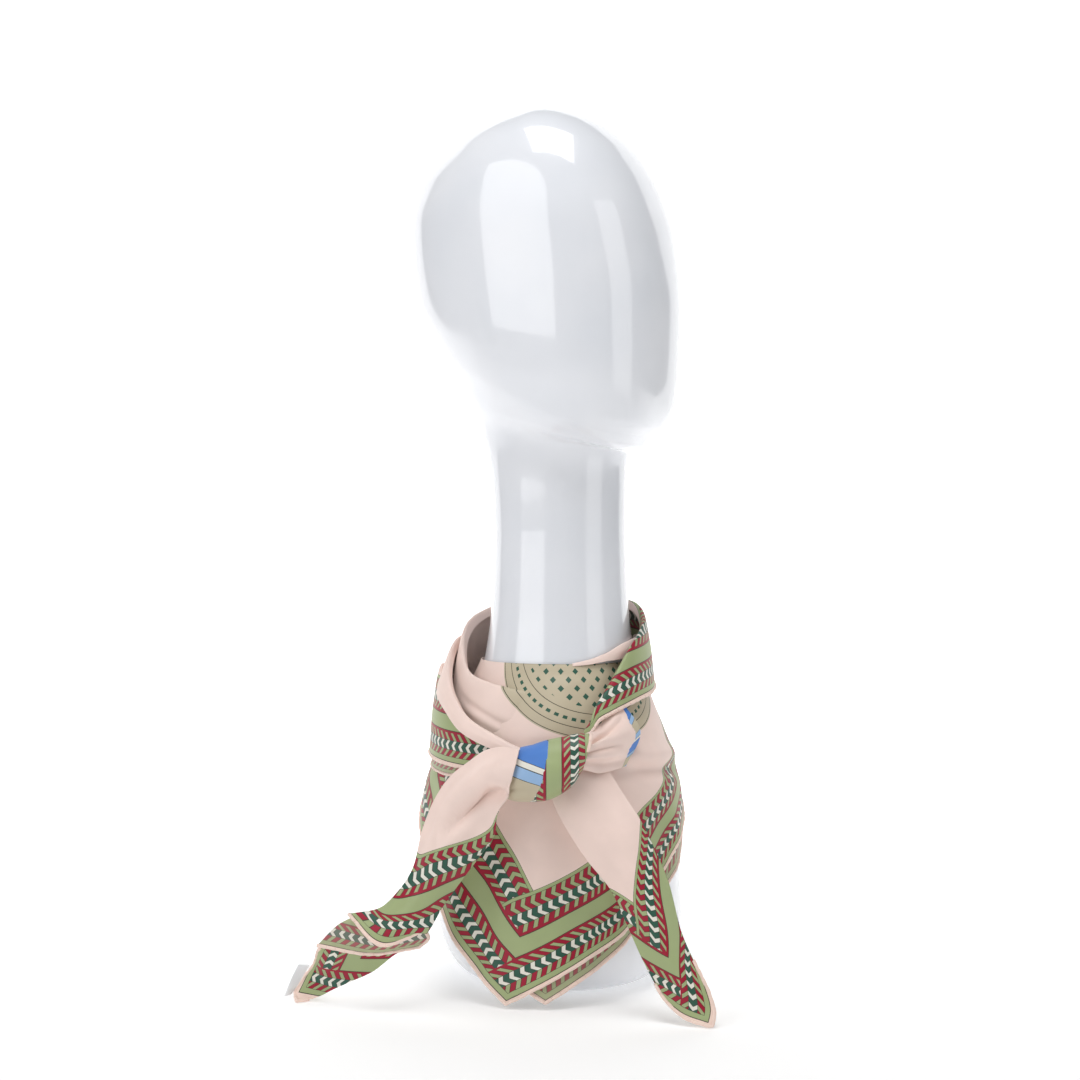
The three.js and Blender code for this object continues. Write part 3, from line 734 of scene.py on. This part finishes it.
def hemLine(rows, az, azTip):
    # the two hems meet at a sharp corner
    left, right = rows["az"] <= azTip, rows["az"] >= azTip
    leftLine = easedCurve(rows["az"][left], rows["z"][left], az)
    return np.where(np.asarray(az) < azTip, leftLine, easedCurve(rows["az"][right], rows["z"][right], az))


def panelRadius(az, z):
    az, z = np.broadcast_arrays(np.asarray(az, float), np.asarray(z, float))
    toSide = np.where(az > -15, smooth((az + 15) / 85), 0)
    toLeft = np.where(az < -15, smooth((-15 - az) / 60), 0)
    front, side, left = (easedCurve(drapeRows["z"], drapeRows[n], z) for n in ("front", "side", "left"))
    radius = blend(blend(front, side, toSide), left, toLeft)
    for k in range(len(panelFolds["az"])):
        f = {name: column[k] for name, column in panelFolds.items()}
        middle = (f["low"] + f["high"]) / 2
        away = (az - f["az"] - f["lean"] * (z - middle)) / f["width"]
        within = 1 - ((z - middle) / (f["high"] - middle)) ** 2
        radius = radius + np.where(within > 0, f["depth"] * np.exp(-away * away) * smooth(within * 1.6), 0)
    c = shoulderCrease
    along = (az - c["azFrom"]) / (c["azTo"] - c["azFrom"])
    above = (z - blend(c["zFrom"], c["zTo"], along)) / c["width"]
    strength = np.where((along > 0) & (along < 1), smooth(along * 4) * smooth((1 - along) * 3), 0)
    return radius + strength * (c["lip"] * np.exp(-((above - 2) ** 2)) - c["depth"] * np.exp(-above * above))


def coneCut(az, z, azTip, tipZ):
    # where a point of the draped panel lies in the flat cut, from the panel's corner
    cone = math.radians(panel["coneSlope"])
    reach = (panel["coneZ"] - z) / math.cos(cone)
    turn = np.radians(az - azTip) * math.sin(cone)
    tipReach = (panel["coneZ"] - tipZ) / math.cos(cone)
    return reach * np.sin(turn), tipReach - reach * np.cos(turn)


def farFromHem(x, y, azFrom, azTo, rows, azTip, tipZ):
    hemAz = np.linspace(azFrom, azTo, 260)
    hemX, hemY = coneCut(hemAz, hemLine(rows, hemAz, azTip), azTip, tipZ)
    gap = np.full(x.shape, 1e9)
    for hx, hy in zip(hemX, hemY):
        gap = np.minimum(gap, (x - hx) ** 2 + (y - hy) ** 2)
    return np.sqrt(gap)


ease = table("az p q", [
    (-112, 0.8, 0.95), (-70, 0.8, 0.95), (-45, 0.82, 0.95), (-21, 0.82, 0.94), (-11.5, 0.85, 0.98),
    (10, 0.9, 1.07), (22, 1, 1.14), (35, 1, 1.2), (50, 1, 1.3), (62, 1, 1.28),
    (72, 1, 1.17), (82, 1, 1.03), (90, 1, 0.95), (106, 1, 0.92),
])


def panelChart(az, z, rows, azTip, tipZ):
    # distances from the two hems in the flat cut, let out or taken in where folds lie
    x, y = coneCut(az, z, azTip, tipZ)
    p = farFromHem(x, y, rows["az"][0], azTip, rows, azTip, tipZ)
    q = farFromHem(x, y, azTip, rows["az"][-1], rows, azTip, tipZ)
    return p * easedCurve(ease["az"], ease["p"], az), q * easedCurve(ease["az"], ease["q"], az)


def stretchOfAngles(left, tip, right, leftSteps, rightSteps):
    toTip = np.linspace(left, tip, leftSteps + 1)[:-1]
    return np.concatenate([toTip, np.linspace(tip, right, rightSteps + 1)])


def makePanel():
    rows, tip = frontHemRows, panel["azTip"]
    az = stretchOfAngles(rows["az"][0], tip, rows["az"][-1], 110, 150)[:, None]
    z = blend(hemLine(rows, az, tip), panel["topZ"], np.linspace(0, 1, 141)[None, :])
    az = az + 0 * z
    grid = around(az, panelRadius(az, z), z)
    p, q = panelChart(az, z, rows, tip, panel["tipZ"])
    collar = (z > 150) & (az > -75) & (az < 75)
    art = (np.where(collar, az * 1.08, -1000), z)
    thing = silkPiece("frontPanel", "front_panel", grid, p, q, art)
    hem = rolledHem("frontPanelHem", grid[:, 0])
    print("frontPanel area", round(clothArea(grid * milli), 5))


def makeUnder():
    rows, tip = underHemRows, under["azTip"]
    az = stretchOfAngles(rows["az"][0], tip, rows["az"][-1], 24, 110)[:, None]
    low = hemLine(rows, az, tip)
    high = np.maximum(low, hemLine(frontHemRows, az, panel["azTip"])) + under["cover"]
    z = blend(low, high, np.linspace(0, 1, 41)[None, :])
    az = az + 0 * z
    grid = around(az, panelRadius(az, z) - under["gap"], z)
    x, y = coneCut(az, z, tip, under["tipZ"])
    p = farFromHem(x, y, rows["az"][0], tip, rows, tip, under["tipZ"])
    q = farFromHem(x, y, tip, rows["az"][-1], rows, tip, under["tipZ"])
    thing = silkPiece("underPanel", "under_panel", grid, p, q, outside=silkWrong, inside=silkFace)
    hem = rolledHem("underPanelHem", grid[:, 0])
    print("underPanel area", round(clothArea(grid * milli), 5))


makePanel()
makeUnder()
print("panels made")

# stretches round the neck
# each section has an inner rim, a top, an outermost point and a low edge, as radius and height

roundColumns = "az rimR rimZ topR topZ outR outZ lowR lowZ"
neckRollRight = table(roundColumns, [
    (8, 53.5, 213.8, 53.8, 214.2, 54.2, 213.8, 54.6, 212.6),
    (20, 53.4, 215, 53.8, 216.4, 54.8, 215.6, 55.6, 213.6),
    (34, 53, 216.8, 53.8, 220.5, 55.6, 218.8, 56.6, 215.6),
    (50, 52.6, 219, 53.4, 226, 56.2, 223, 57.4, 216.2),
    (70, 52.4, 221, 53.2, 229, 56.6, 225, 58.2, 216.4),
    (90, 52.2, 222, 53, 230, 56.7, 226, 58.4, 216.6),
    (104.5, 52.3, 221, 53.2, 229, 57, 224, 58.8, 217),
])
armRight = table(roundColumns, [
    (106.4, 53, 221, 54.6, 227, 61.8, 190, 84.4, 130),
    (125, 53.6, 216, 55.2, 221, 62, 190, 77, 147),
    (145, 55, 209, 56.8, 213, 62.3, 190, 72.5, 158),
    (163, 56.4, 203, 57.8, 206, 62.5, 189, 70, 163),
    (181.7, 57.2, 200, 58.4, 203, 62.5, 187, 68, 166),
])
rollLeftInner = table(roundColumns, [
    (-181.8, 50, 248, 52, 253, 55, 240, 56.5, 209),
    (-165, 51.8, 248, 54, 253, 57.2, 240, 58.6, 207),
    (-150, 54.5, 247, 57, 252.5, 60, 240, 61.4, 204),
    (-135, 57.5, 244, 60, 249.5, 63, 236, 65, 198),
    (-120, 60.5, 239, 63, 245, 66, 230, 70, 190),
    (-105, 63, 231, 66, 238, 69, 222, 72.5, 185),
    (-90, 64, 220, 66.8, 226.5, 71.5, 209, 75, 180),
    (-75, 64, 206, 66.5, 211, 75, 190, 77.6, 172),
    (-60, 65, 202, 67.4, 205, 76, 186, 79.2, 168),
    (-45, 65.6, 199.5, 67.6, 201.6, 75.6, 184, 81, 166),
    (-30, 63.4, 197, 64.8, 198.2, 72.2, 183, 77.6, 160),
    (-17, 61.4, 194.6, 62.2, 195.2, 68, 181.4, 75.2, 158.5),
    (-4, 60.2, 192.4, 60.6, 192.6, 64.8, 181.4, 74.6, 158.5),
])
wrapLeft = table(roundColumns, [
    (-177.9, 57.2, 200, 58.4, 203, 62.5, 187, 68, 166),
    (-160, 62, 201, 63.6, 204, 68.5, 186, 73, 163),
    (-140, 70, 199, 72, 202, 76, 183, 79, 158),
    (-120, 75, 203, 77, 206, 81.5, 184, 84, 155),
    (-95, 79, 207, 81, 210, 86, 184, 88.5, 152),
    (-75, 80.5, 197, 82.5, 200, 87.3, 177, 89.5, 150),
    (-55, 83.2, 181, 85.2, 183.4, 88.5, 167, 90, 148.5),
    (-40, 84, 171, 86, 173.5, 88.5, 162, 89.5, 148),
    (-27, 84, 166, 86, 168, 87.5, 160, 88, 149),
])
rollLeftOuter = table(roundColumns, [
    (-170, 55.6, 220, 56, 221, 56.8, 219, 57, 215),
    (-152, 62.5, 219, 65.5, 223, 69, 217, 69.5, 208),
    (-135, 67.5, 223, 70, 228, 74, 220, 75, 206),
    (-120, 69, 225, 71.5, 230, 76, 220, 77, 204),
    (-105, 70.5, 222, 73, 227, 77.8, 215, 78.5, 200),
    (-90, 72, 215, 75, 218.5, 79.4, 208, 80.2, 197),
    (-75, 75.5, 203, 78.5, 205.5, 84.2, 199, 86, 192),
    (-60, 80, 192, 82.8, 194, 87.6, 189.4, 88.8, 183.6),
    (-45, 84, 178.6, 86.2, 180.2, 90, 175.4, 91, 170.4),
    (-29, 86.5, 169.4, 88.2, 170.4, 91, 167, 91.8, 162),
    (-17, 88, 162.4, 89.4, 163, 91.6, 160.4, 92, 156.5),
    (-6, 90, 157.6, 91, 157.8, 92.2, 155.6, 92.4, 152.6),
])
wrapLeftUnder = table(roundColumns, [
    (-178, 65.5, 176, 66, 174, 66.3, 172, 66.5, 170),
    (-160, 70, 170, 70.6, 167, 71.2, 162, 71.6, 158.5),
    (-142, 75.4, 166, 76, 162, 76.8, 156, 77.2, 151),
    (-120, 81, 163, 81.8, 159, 82.6, 152, 83, 146.8),
    (-100, 85.4, 160, 86, 156, 86.6, 149, 86.8, 143.8),
    (-80, 86.8, 158, 87.2, 154, 87.6, 147, 87.8, 141.8),
    (-60, 87, 156, 87.4, 152, 87.6, 146, 87.6, 141),
    (-44, 86.6, 156, 86.8, 152, 87, 147, 87, 142),
])
wrapRight = table(roundColumns, [
    (177.8, 50, 248, 52, 253, 55, 240, 56.5, 209),
    (150, 52, 249.5, 54.5, 254.5, 59, 242, 63, 205),
    (120, 54, 247, 57, 252.5, 61, 240, 65, 201),
    (90, 54.6, 238, 57.2, 244, 61.4, 226, 64.6, 197),
    (65, 56.2, 229, 58.8, 233.5, 63.4, 215, 67, 193.5),
    (48, 59.2, 220.5, 61.6, 223.5, 66.4, 208, 70, 191),
    (35, 62.4, 208, 65, 210, 70.2, 200, 73.4, 187.5),
    (24, 67.4, 195.5, 69.6, 196.5, 73.8, 190, 76.6, 183),
    (17, 74, 187, 75.4, 187.4, 78.4, 183.6, 80.4, 179.4),
    (13, 82, 179.5, 83, 179.8, 85, 177, 86.4, 174),
    (9, 90, 174.5, 90.8, 174.6, 92, 172.6, 93, 170.6),
])


def wrapped(rows, steps, across):
    s = sampleRows(rows, steps)
    points = [around(s["az"], s[part + "R"], s[part + "Z"]) for part in ("rim", "top", "out", "low")]
    return throughPoints(np.stack(points, axis=1), across), s["az"]


def makeRound(name, node, rows, steps, across, creases=None, hasBorder=False, girth=70, turned=False,
              hasArt=False, scale=((-180, 1), (180, 1)), slideTo=-181):
    grid, az = wrapped(rows, steps, across)
    grid = creased(grid, creases)
    far = np.full(grid.shape[:2], 300.0)
    if hasBorder:
        p = 400 + np.radians(np.where(az < slideTo, az + 360, az))[:, None] * girth + 0 * far
        # the border widens where the hem runs aslant, and slides off the low edge where the cloth twists
        share = table("az q", scale)
        q = arcAcross(grid) * easedCurve(share["az"], share["q"], az)[:, None]
        q = q + np.where(slideTo > -181, 64 * smooth((az + 181) / (slideTo + 181)), 0)[:, None]
    else:
        p, q = far, far
    art = (np.where((az > -75)[:, None] & (grid[..., 2] > 150), az[:, None] * 1.08, -1000), grid[..., 2])
    faces = (silkWrong, silkFace) if turned else (silkFace, silkWrong)
    thing = silkPiece(name, node, grid, p, q, art if hasArt else None, outside=faces[0], inside=faces[1])
    hems = (rolledHem(name + "Hem", grid[:, -1]),) if hasBorder and slideTo == -181 else ()
    area = clothArea(grid * milli)
    print(name, "area", round(area, 5), "across", round(float(arcAcross(grid)[:, 0].mean()), 1))
    return grid


creaseColumns = "s0 t0 s1 t1 bow width depth"
makeRound("neckRollRight", "neck_roll_right", neckRollRight, 84, 24)
makeRound("armRight", "arm_right", armRight, 70, 60, hasBorder=True,
          scale=((106, 0.76), (125, 0.86), (150, 1), (182, 1)))
makeRound("rollLeftInner", "roll_left_inner", rollLeftInner, 150, 60, table(creaseColumns, [
    (0.62, 0.42, 0.98, 0.72, 0.03, 3.2, -1.1),
    (0.55, 0.62, 0.93, 0.86, 0.02, 3.6, -1.0),
    (0.2, 0.7, 0.6, 0.82, 0.04, 4, 0.7),
]), hasBorder=True, girth=62, hasArt=True, slideTo=-132)
makeRound("wrapLeft", "wrap_left", wrapLeft, 130, 60, hasBorder=True, girth=78)
makeRound("rollLeftOuter", "roll_left_outer", rollLeftOuter, 130, 48)
makeRound("wrapRight", "wrap_right", wrapRight, 170, 60, hasBorder=True, girth=62)
makeRound("wrapLeftUnder", None, wrapLeftUnder, 110, 18, hasBorder=True, girth=78, turned=True,
          scale=((-180, 1.6), (0, 1.6)))
print("stretches round the neck made")

# hanging stretches and the knot
hangingColumns = "ux uy uz mx my mz wx wy wz"
strandRight = table(hangingColumns, [
    (41.4, -57.8, 187.4, 51, -64, 171, 41, -74.5, 150.5),
    (34.6, -64, 184.8, 40, -78, 169, 33, -83, 149),
    (24.5, -73, 177, 27.5, -92, 164, 24, -93, 148.5),
    (16, -90, 173.5, 17, -101, 163, 15.5, -99, 151),
    (6, -99, 170, 6, -106, 163, 5, -104, 153),
])
tailLeft = table(hangingColumns, [
    (-26.5, -114, 166, -28.5, -121, 158, -31, -122, 149),
    (-35, -109, 167, -38, -119, 152, -34.4, -121, 139),
    (-46, -101, 164.5, -46.5, -115.5, 145, -38.6, -113, 128.5),
    (-58, -97, 156.5, -53.5, -113, 134.5, -41.8, -105, 113.5),
    (-70, -95, 147, -61, -111, 124, -51.5, -99, 98),
    (-80, -94, 132, -71, -109, 110, -60.5, -100, 85.5),
    (-87.5, -93, 113, -78.5, -108, 92, -69, -100, 74),
    (-93, -92, 90, -84, -105, 77, -75.5, -100, 64.5),
    (-103, -92, 74, -92, -104, 65, -81, -100, 54.5),
    (-116, -92, 63, -101, -103, 55, -84.5, -100, 49.5),
    (-134, -92, 60, -113, -102, 43, -85, -99.5, 52),
])
tailLeftUnder = table(hangingColumns, [
    (-117, -90.2, 62.2, -102, -101, 54.8, -85.5, -98, 50.8),
    (-139, -88, 53.5, -114, -98, 44, -83.4, -95.5, 46),
    (-154.7, -85.5, 38.6, -120, -94.5, 35.4, -89.5, -92.5, 39.4),
])
tailLeftEnd = table(hangingColumns, [
    (-95, -92.5, 43.5, -94.5, -90.5, 41, -94, -88.5, 39),
    (-107.5, -93, 42, -106, -90.5, 38, -104.5, -88, 34),
    (-124.9, -91.8, 40, -122.5, -89, 31, -119.8, -86.5, 22.1),
    (-141, -87.3, 39.5, -137.5, -84.5, 27, -134, -84.5, 15.2),
    (-153, -82.5, 36, -149, -78.5, 22, -145.9, -81, 9),
    (-159.4, -65, 21.5, -156.7, -71, 12.9, -154.1, -77, 4.1),
    (-166.8, -63.5, 10.7, -164, -69.5, 5.9, -161.2, -76, 1.8),
    (-171.6, -65.5, 3.2, -170.4, -71.5, 1.9, -168.4, -78.5, 1.4),
])
tailRight = table(hangingColumns, [
    (-10, -97, 147, 8, -95, 152, 28, -84, 152),
    (-5.5, -99, 131, 16, -104, 133, 37.5, -93, 137.5),
    (4.2, -103, 113, 27, -110.5, 115, 48, -101.5, 122),
    (15.5, -106, 96.5, 37.5, -113, 98, 57.5, -106, 103),
    (29.8, -108.5, 79, 48, -115.5, 80, 65.5, -109, 84),
    (40.6, -112, 56.5, 57.3, -119, 55, 73, -114, 54.5),
    (48.3, -115, 39.5, 63.8, -122, 40.5, 79.2, -118, 40),
    (57.3, -119, 22.5, 71.4, -125, 25.6, 85, -122, 28),
    (64.5, -122.5, 12.4, 77.5, -127.5, 15.2, 89.6, -126, 18),
    (75, -127.5, 4.9, 84, -130, 6.6, 92, -130, 8.6),
    (86.6, -131.5, 1.9, 88.6, -132, 1.7, 90.6, -132, 1.6),
])
labelRows = table(hangingColumns, [
    (-162.6, -62.4, 20.2, -166, -62.6, 20.4, -170, -62.8, 20.6),
    (-168.6, -63.6, 9.8, -171.4, -64.6, 10.4, -174.6, -65.8, 11),
    (-174, -67.4, 2.6, -175.4, -70, 2.6, -177.4, -72.6, 2.6),
])
knotRows = table("x y z deep high lean", [
    (-31, -106, 151, 12, 15.2, 5.4),
    (-24, -107, 150.6, 14, 17, 4.6),
    (-8.5, -107.5, 152.8, 15.5, 18.6, 1.6),
    (6.5, -107, 158.2, 14, 16.4, 1.8),
    (15.2, -106, 163.6, 11, 11, 2.8),
])
knotOpen = 44


def hanging(rows, steps, across):
    s = sampleRows(rows, steps)
    points = [np.stack([s[part + "x"], s[part + "y"], s[part + "z"]], axis=1) for part in "umw"]
    return throughPoints(np.stack(points, axis=1), across)


def spread(marks, name, x, z):
    # a smooth field through marks given on the cloth, as seen from the front
    mx, mz, values = marks["x"], marks["z"], marks[name]

    def bend(dx, dz):
        squared = dx ** 2 + dz ** 2
        return squared * np.log(np.maximum(squared, 1e-9))

    count = len(mx)
    flat = np.stack([np.ones(count), mx, mz], axis=1)
    system = np.zeros((count + 3, count + 3))
    system[:count, :count] = bend(mx[:, None] - mx, mz[:, None] - mz) + 60 * np.eye(count)
    system[:count, count:], system[count:, :count] = flat, flat.T
    weights = np.linalg.solve(system, np.concatenate([values, np.zeros(3)]))
    field = weights[count] + weights[count + 1] * x + weights[count + 2] * z
    for k in range(count):
        field = field + weights[k] * bend(x - mx[k], z - mz[k])
    return field


# on the left tail: how far down the tail each line of the border lies, at its left, middle and right
tailLeftLines = table("inward left middle right", [
    (0, 10, 10, 10),
    (21.6, 9.05, 8.3, 5.8),
    (31.6, 8.3, 7.25, 5.0),
    (37.6, 7.9, 6.65, 4.1),
    (43.9, 7.2, 5.95, 3.3),
    (53.1, 6.6, 5.35, 2.0),
    (130, 1, -1, -4),
])


def tailLeftChart(grid):
    rows, columns = grid.shape[:2]
    down = np.linspace(0, 10, rows)
    across = np.linspace(0, 1, columns)
    q = np.empty((rows, columns))
    lines = tailLeftLines
    for j, t in enumerate(across):
        at = (lines["left"] * (1 - t) * (1 - 2 * t) + lines["middle"] * 4 * t * (1 - t)
              + lines["right"] * t * (2 * t - 1))
        q[:, j] = np.interp(down, at[::-1], lines["inward"][::-1])
    p = 400 + 0.92 * grid[..., 0] + 0.39 * grid[..., 2]
    return p, q


# on the right tail: distances from the left hem (p) and the right hem (q)
tailRightMarks = table("x z p q", [
    (43.7, 72.1, 53.1, 53.1),
    (64.0, 41.7, 33.0, 33.0),
    (71.6, 28.2, 21.6, 21.6),
    (88.6, 1.6, 0, 0),
    (58.8, 99.2, 94, 33.0),
    (47.0, 103, 86, 53.1),
    (72.1, 54.3, 50, 21.6),
    (40.3, 55.5, 33.0, 60),
    (48.6, 38.9, 21.6, 48),
    (61.5, 15, 1, 34),
    (72, 6.2, 0, 20),
    (83, 35.5, 34, 0.5),
    (87.4, 24, 23, 0),
    (91.6, 10, 9, 0),
    (23.5, 133.6, 132, 92),
])


def edgePath(*runs):
    return np.concatenate([runs[0], *(run[1:] for run in runs[1:])])


def makeStrand():
    grid = creased(hanging(strandRight, 76, 56), table(creaseColumns, [
        (0.2, 0.2, 0.98, 0.4, 0.03, 2.4, -3.4),
        (0.28, 0.62, 0.98, 0.56, -0.03, 2.2, -3.0),
        (0.12, 0.88, 0.95, 0.74, 0.02, 2.6, -2.2),
        (0.2, 0.42, 0.95, 0.48, 0.02, 3.4, 2.2),
        (0.25, 0.76, 0.92, 0.66, 0.0, 2.4, 1.4),
    ]))
    far = np.full(grid.shape[:2], 300.0)
    s = np.linspace(0, 1, grid.shape[0])[:, None] + 0 * far
    u = np.where(s < 0.1 + 0.02 * np.sin(grid[..., 2] * 0.4), 180 + s * 90, -1000)
    thing = silkPiece("strandRight", "strand_right", grid, far, far, (u, grid[..., 2] * 4.5))
    print("strandRight area", round(clothArea(grid * milli), 5))


def makeTailLeft():
    grid = creased(hanging(tailLeft, 170, 60), table(creaseColumns, [
        (0.1, 0.97, 0.5, 0.4, -0.11, 5.0, -9.5),
        (0.2, 1.0, 0.54, 0.76, 0.0, 4.4, 4.2),
        (0.1, 0.42, 0.5, 0.2, 0.02, 7, 3),
        (0.34, 0.1, 0.62, 0.16, 0.0, 4.5, -1.6),
        (0.62, 0.2, 0.95, 0.4, 0.05, 7, 1.2),
    ]))
    p, q = tailLeftChart(grid)
    thing = silkPiece("tailLeft", "tail_left", grid, p, q)
    hem = rolledHem("tailLeftHem", grid[-1])
    print("tailLeft area", round(clothArea(grid * milli), 5))

    grid = hanging(tailLeftUnder, 40, 70)
    q = arcAcross(np.swapaxes(grid, 0, 1)).T
    p = 400 + grid[..., 0]
    thing = silkPiece("tailLeftUnder", "tail_left_under", grid, p, q, outside=silkWrong, inside=silkFace)
    hem = rolledHem("tailLeftUnderHem", edgePath(grid[:, -1], grid[-1, ::-1]))
    print("tailLeftUnder area", round(clothArea(grid * milli), 5))

    grid = hanging(tailLeftEnd, 90, 40)
    x, z = grid[..., 0] + 171, grid[..., 2] - 2.5
    # one mm in from the left hem is (0.95, 0) on the cloth, and one mm up from the low hem is (0.44, 0.9)
    q = z / 0.9
    p = (x - 0.44 * q) / 0.95
    thing = silkPiece("tailLeftEnd", "tail_left_end", grid, np.maximum(p, 0), np.maximum(q, 0))
    hem = rolledHem("tailLeftEndHem", edgePath(grid[51:, 0], grid[-1], grid[:76:-1, -1]))
    print("tailLeftEnd area", round(clothArea(grid * milli), 5))


def makeTailRight():
    grid = creased(hanging(tailRight, 170, 54), table(creaseColumns, [
        (0.0, 0.35, 0.42, 0.6, 0.04, 5.5, -1.4),
        (0.05, 0.75, 0.5, 0.8, 0.0, 5, 1.1),
        (0.5, 0.3, 0.95, 0.45, 0.03, 6, -0.9),
    ]))
    x, z = grid[..., 0], grid[..., 2]
    p, q = (np.maximum(spread(tailRightMarks, name, x, z), 0) for name in "pq")
    thing = silkPiece("tailRight", "tail_right", grid, p, q)
    hem = rolledHem("tailRightHem", edgePath(grid[118:, 0], grid[-1], grid[:104:-1, -1]))
    print("tailRight area", round(clothArea(grid * milli), 5))


def makeKnot():
    s = sampleRows(knotRows, 80)
    turn = np.radians(np.linspace(-180 + knotOpen, 180 - knotOpen, 73))
    x = s["x"][:, None] + s["lean"][:, None] * np.sin(turn)
    y = s["y"][:, None] - s["deep"][:, None] * np.cos(turn)
    z = s["z"][:, None] + s["high"][:, None] * np.sin(turn)
    grid = creased(np.stack([x, y, z], axis=2), table(creaseColumns, [
        (0.0, 0.35, 0.45, 0.42, 0.02, 2.4, -1.0),
        (0.1, 0.62, 0.6, 0.58, 0.02, 2.6, -0.8),
        (0.55, 0.3, 1.0, 0.35, 0.0, 2.2, -0.6),
    ]))
    q = np.interp(x, [-40, -9.9, -0.2, 18.2], [62, 31.6, 21.6, 0])
    p = 400 + 17 * turn[None, :] + 0 * x
    edgeX = np.interp(z, [132, 136, 146, 167], [-21, -17, -12.5, -8])
    u = np.where(x < edgeX, 218.4 + np.minimum((167 - z) * 1.05 - (8 + x) * 0.35, 39), -1000)
    thing = silkPiece("scarfKnot", "knot", grid, p, q, (u, 0 * z))
    hem = rolledHem("knotHem", grid[-1, 38:68])
    print("knot area", round(clothArea(grid * milli), 5))


def tapeMaterial():
    material = bpy.data.materials.new("careTape")
    material.use_nodes = True
    tree = material.node_tree
    shader = tree.nodes["Principled BSDF"]
    place = tree.nodes.new("ShaderNodeTexCoord").outputs["Object"]
    weave = tree.nodes.new("ShaderNodeTexWave")
    weave.inputs["Scale"].default_value = 700
    put(tree, weave.inputs["Vector"], place)
    tones = [(0.2, colour(226, 228, 232)), (0.8, colour(240, 241, 243))]
    put(tree, shader.inputs["Base Color"], ramp(tree, weave.outputs["Fac"], tones, "LINEAR"))
    bump = tree.nodes.new("ShaderNodeBump")
    bump.inputs["Strength"].default_value = 0.3
    bump.inputs["Distance"].default_value = 0.0001
    put(tree, bump.inputs["Height"], weave.outputs["Fac"])
    put(tree, shader.inputs["Normal"], bump.outputs[0])
    shader.inputs["Roughness"].default_value = 0.5
    return material


def makeLabel():
    grid = hanging(labelRows, 30, 20)
    far = np.full(grid.shape[:2], 300.0)
    tape = tapeMaterial()
    thing = silkPiece("careLabel", "label", grid, far, far, outside=tape, inside=tape, wall=0.5)
    print("careLabel area", round(clothArea(grid * milli), 6))


makeStrand()
makeKnot()
makeTailLeft()
makeTailRight()
makeLabel()
print("knot, tails and label made")

# floor, light and camera
studio = {
    "floorHalf": 4.0, "wallBack": 3.0, "wallHigh": 4.5, "curve": 1.2,
    "floorGlow": 0.24, "wallGlow": 0.9, "cameraX": -0.0137, "cameraY": -1.1, "cameraZ": 0.295, "lens": 53.45,
}


def makeFloor():
    steps = 24
    profile = [(-studio["floorHalf"], 0.0)]
    for k in range(steps + 1):
        turn = math.pi / 2 * k / steps
        profile.append((studio["wallBack"] - studio["curve"] + studio["curve"] * math.sin(turn),
                        studio["curve"] * (1 - math.cos(turn))))
    profile.append((studio["wallBack"], studio["wallHigh"]))
    points = [(x, y, z) for y, z in profile for x in (-studio["floorHalf"], studio["floorHalf"])]
    faces = [(2 * k, 2 * k + 1, 2 * k + 3, 2 * k + 2) for k in range(len(profile) - 1)]
    material = bpy.data.materials.new("paleFloor")
    material.use_nodes = True
    tree = material.node_tree
    shader = tree.nodes["Principled BSDF"]
    shader.inputs["Base Color"].default_value = (0.8, 0.8, 0.8, 1)
    shader.inputs["Emission Color"].default_value = (1, 1, 1, 1)
    # the wall glows more than the floor, so it stays white behind the stand
    parts = tree.nodes.new("ShaderNodeSeparateXYZ")
    put(tree, parts.inputs[0], tree.nodes.new("ShaderNodeTexCoord").outputs["Object"])
    back = sums(tree, "DIVIDE", sums(tree, "SUBTRACT", parts.outputs[1], -0.15), 0.75)
    glow = ramp(tree, back, [(0.0, studio["floorGlow"]), (1.0, studio["wallGlow"])], "LINEAR")
    put(tree, shader.inputs["Emission Strength"], glow)
    shader.inputs["Roughness"].default_value = 0.9
    shader.inputs["Specular IOR Level"].default_value = 0.1
    floor = meshObject("floor", points, faces, [material])


def softLight(name, place, aim, width, height, power):
    light = bpy.data.lights.new(name, "AREA")
    light.shape = "RECTANGLE"
    light.size, light.size_y = width, height
    light.energy = power
    thing = bpy.data.objects.new(name, light)
    bpy.context.scene.collection.objects.link(thing)
    thing.location = place
    toward = np.array(aim, float) - np.array(place, float)
    thing.rotation_mode = "QUATERNION"
    thing.rotation_quaternion = Vector(toward).to_track_quat("-Z", "Y")


bpy.context.scene.view_settings.view_transform = "Standard"
makeFloor()
softLight("leftSoftbox", (-1.5, -1.3, 1.1), (0, 0, 0.3), 1.8, 1.6, 17)
softLight("rightSoftbox", (1.5, -0.9, 0.8), (0, 0, 0.35), 1.0, 1.7, 6)
softLight("overhead", (0.0, -0.5, 2.0), (0, 0, 0.2), 1.2, 0.9, 20)
world = bpy.data.worlds.new("studio")
bpy.context.scene.world = world
world.use_nodes = True
world.node_tree.nodes["Background"].inputs[0].default_value = (1, 1, 1, 1)
world.node_tree.nodes["Background"].inputs[1].default_value = 0.15

camera = bpy.data.cameras.new("camera")
camera.sensor_width = 36
camera.lens = studio["lens"]
cameraObject = bpy.data.objects.new("camera", camera)
bpy.context.scene.collection.objects.link(cameraObject)
cameraObject.location = (studio["cameraX"], studio["cameraY"], studio["cameraZ"])
cameraObject.rotation_euler = (math.pi / 2, 0, 0)
bpy.context.scene.camera = cameraObject
print("stage set")
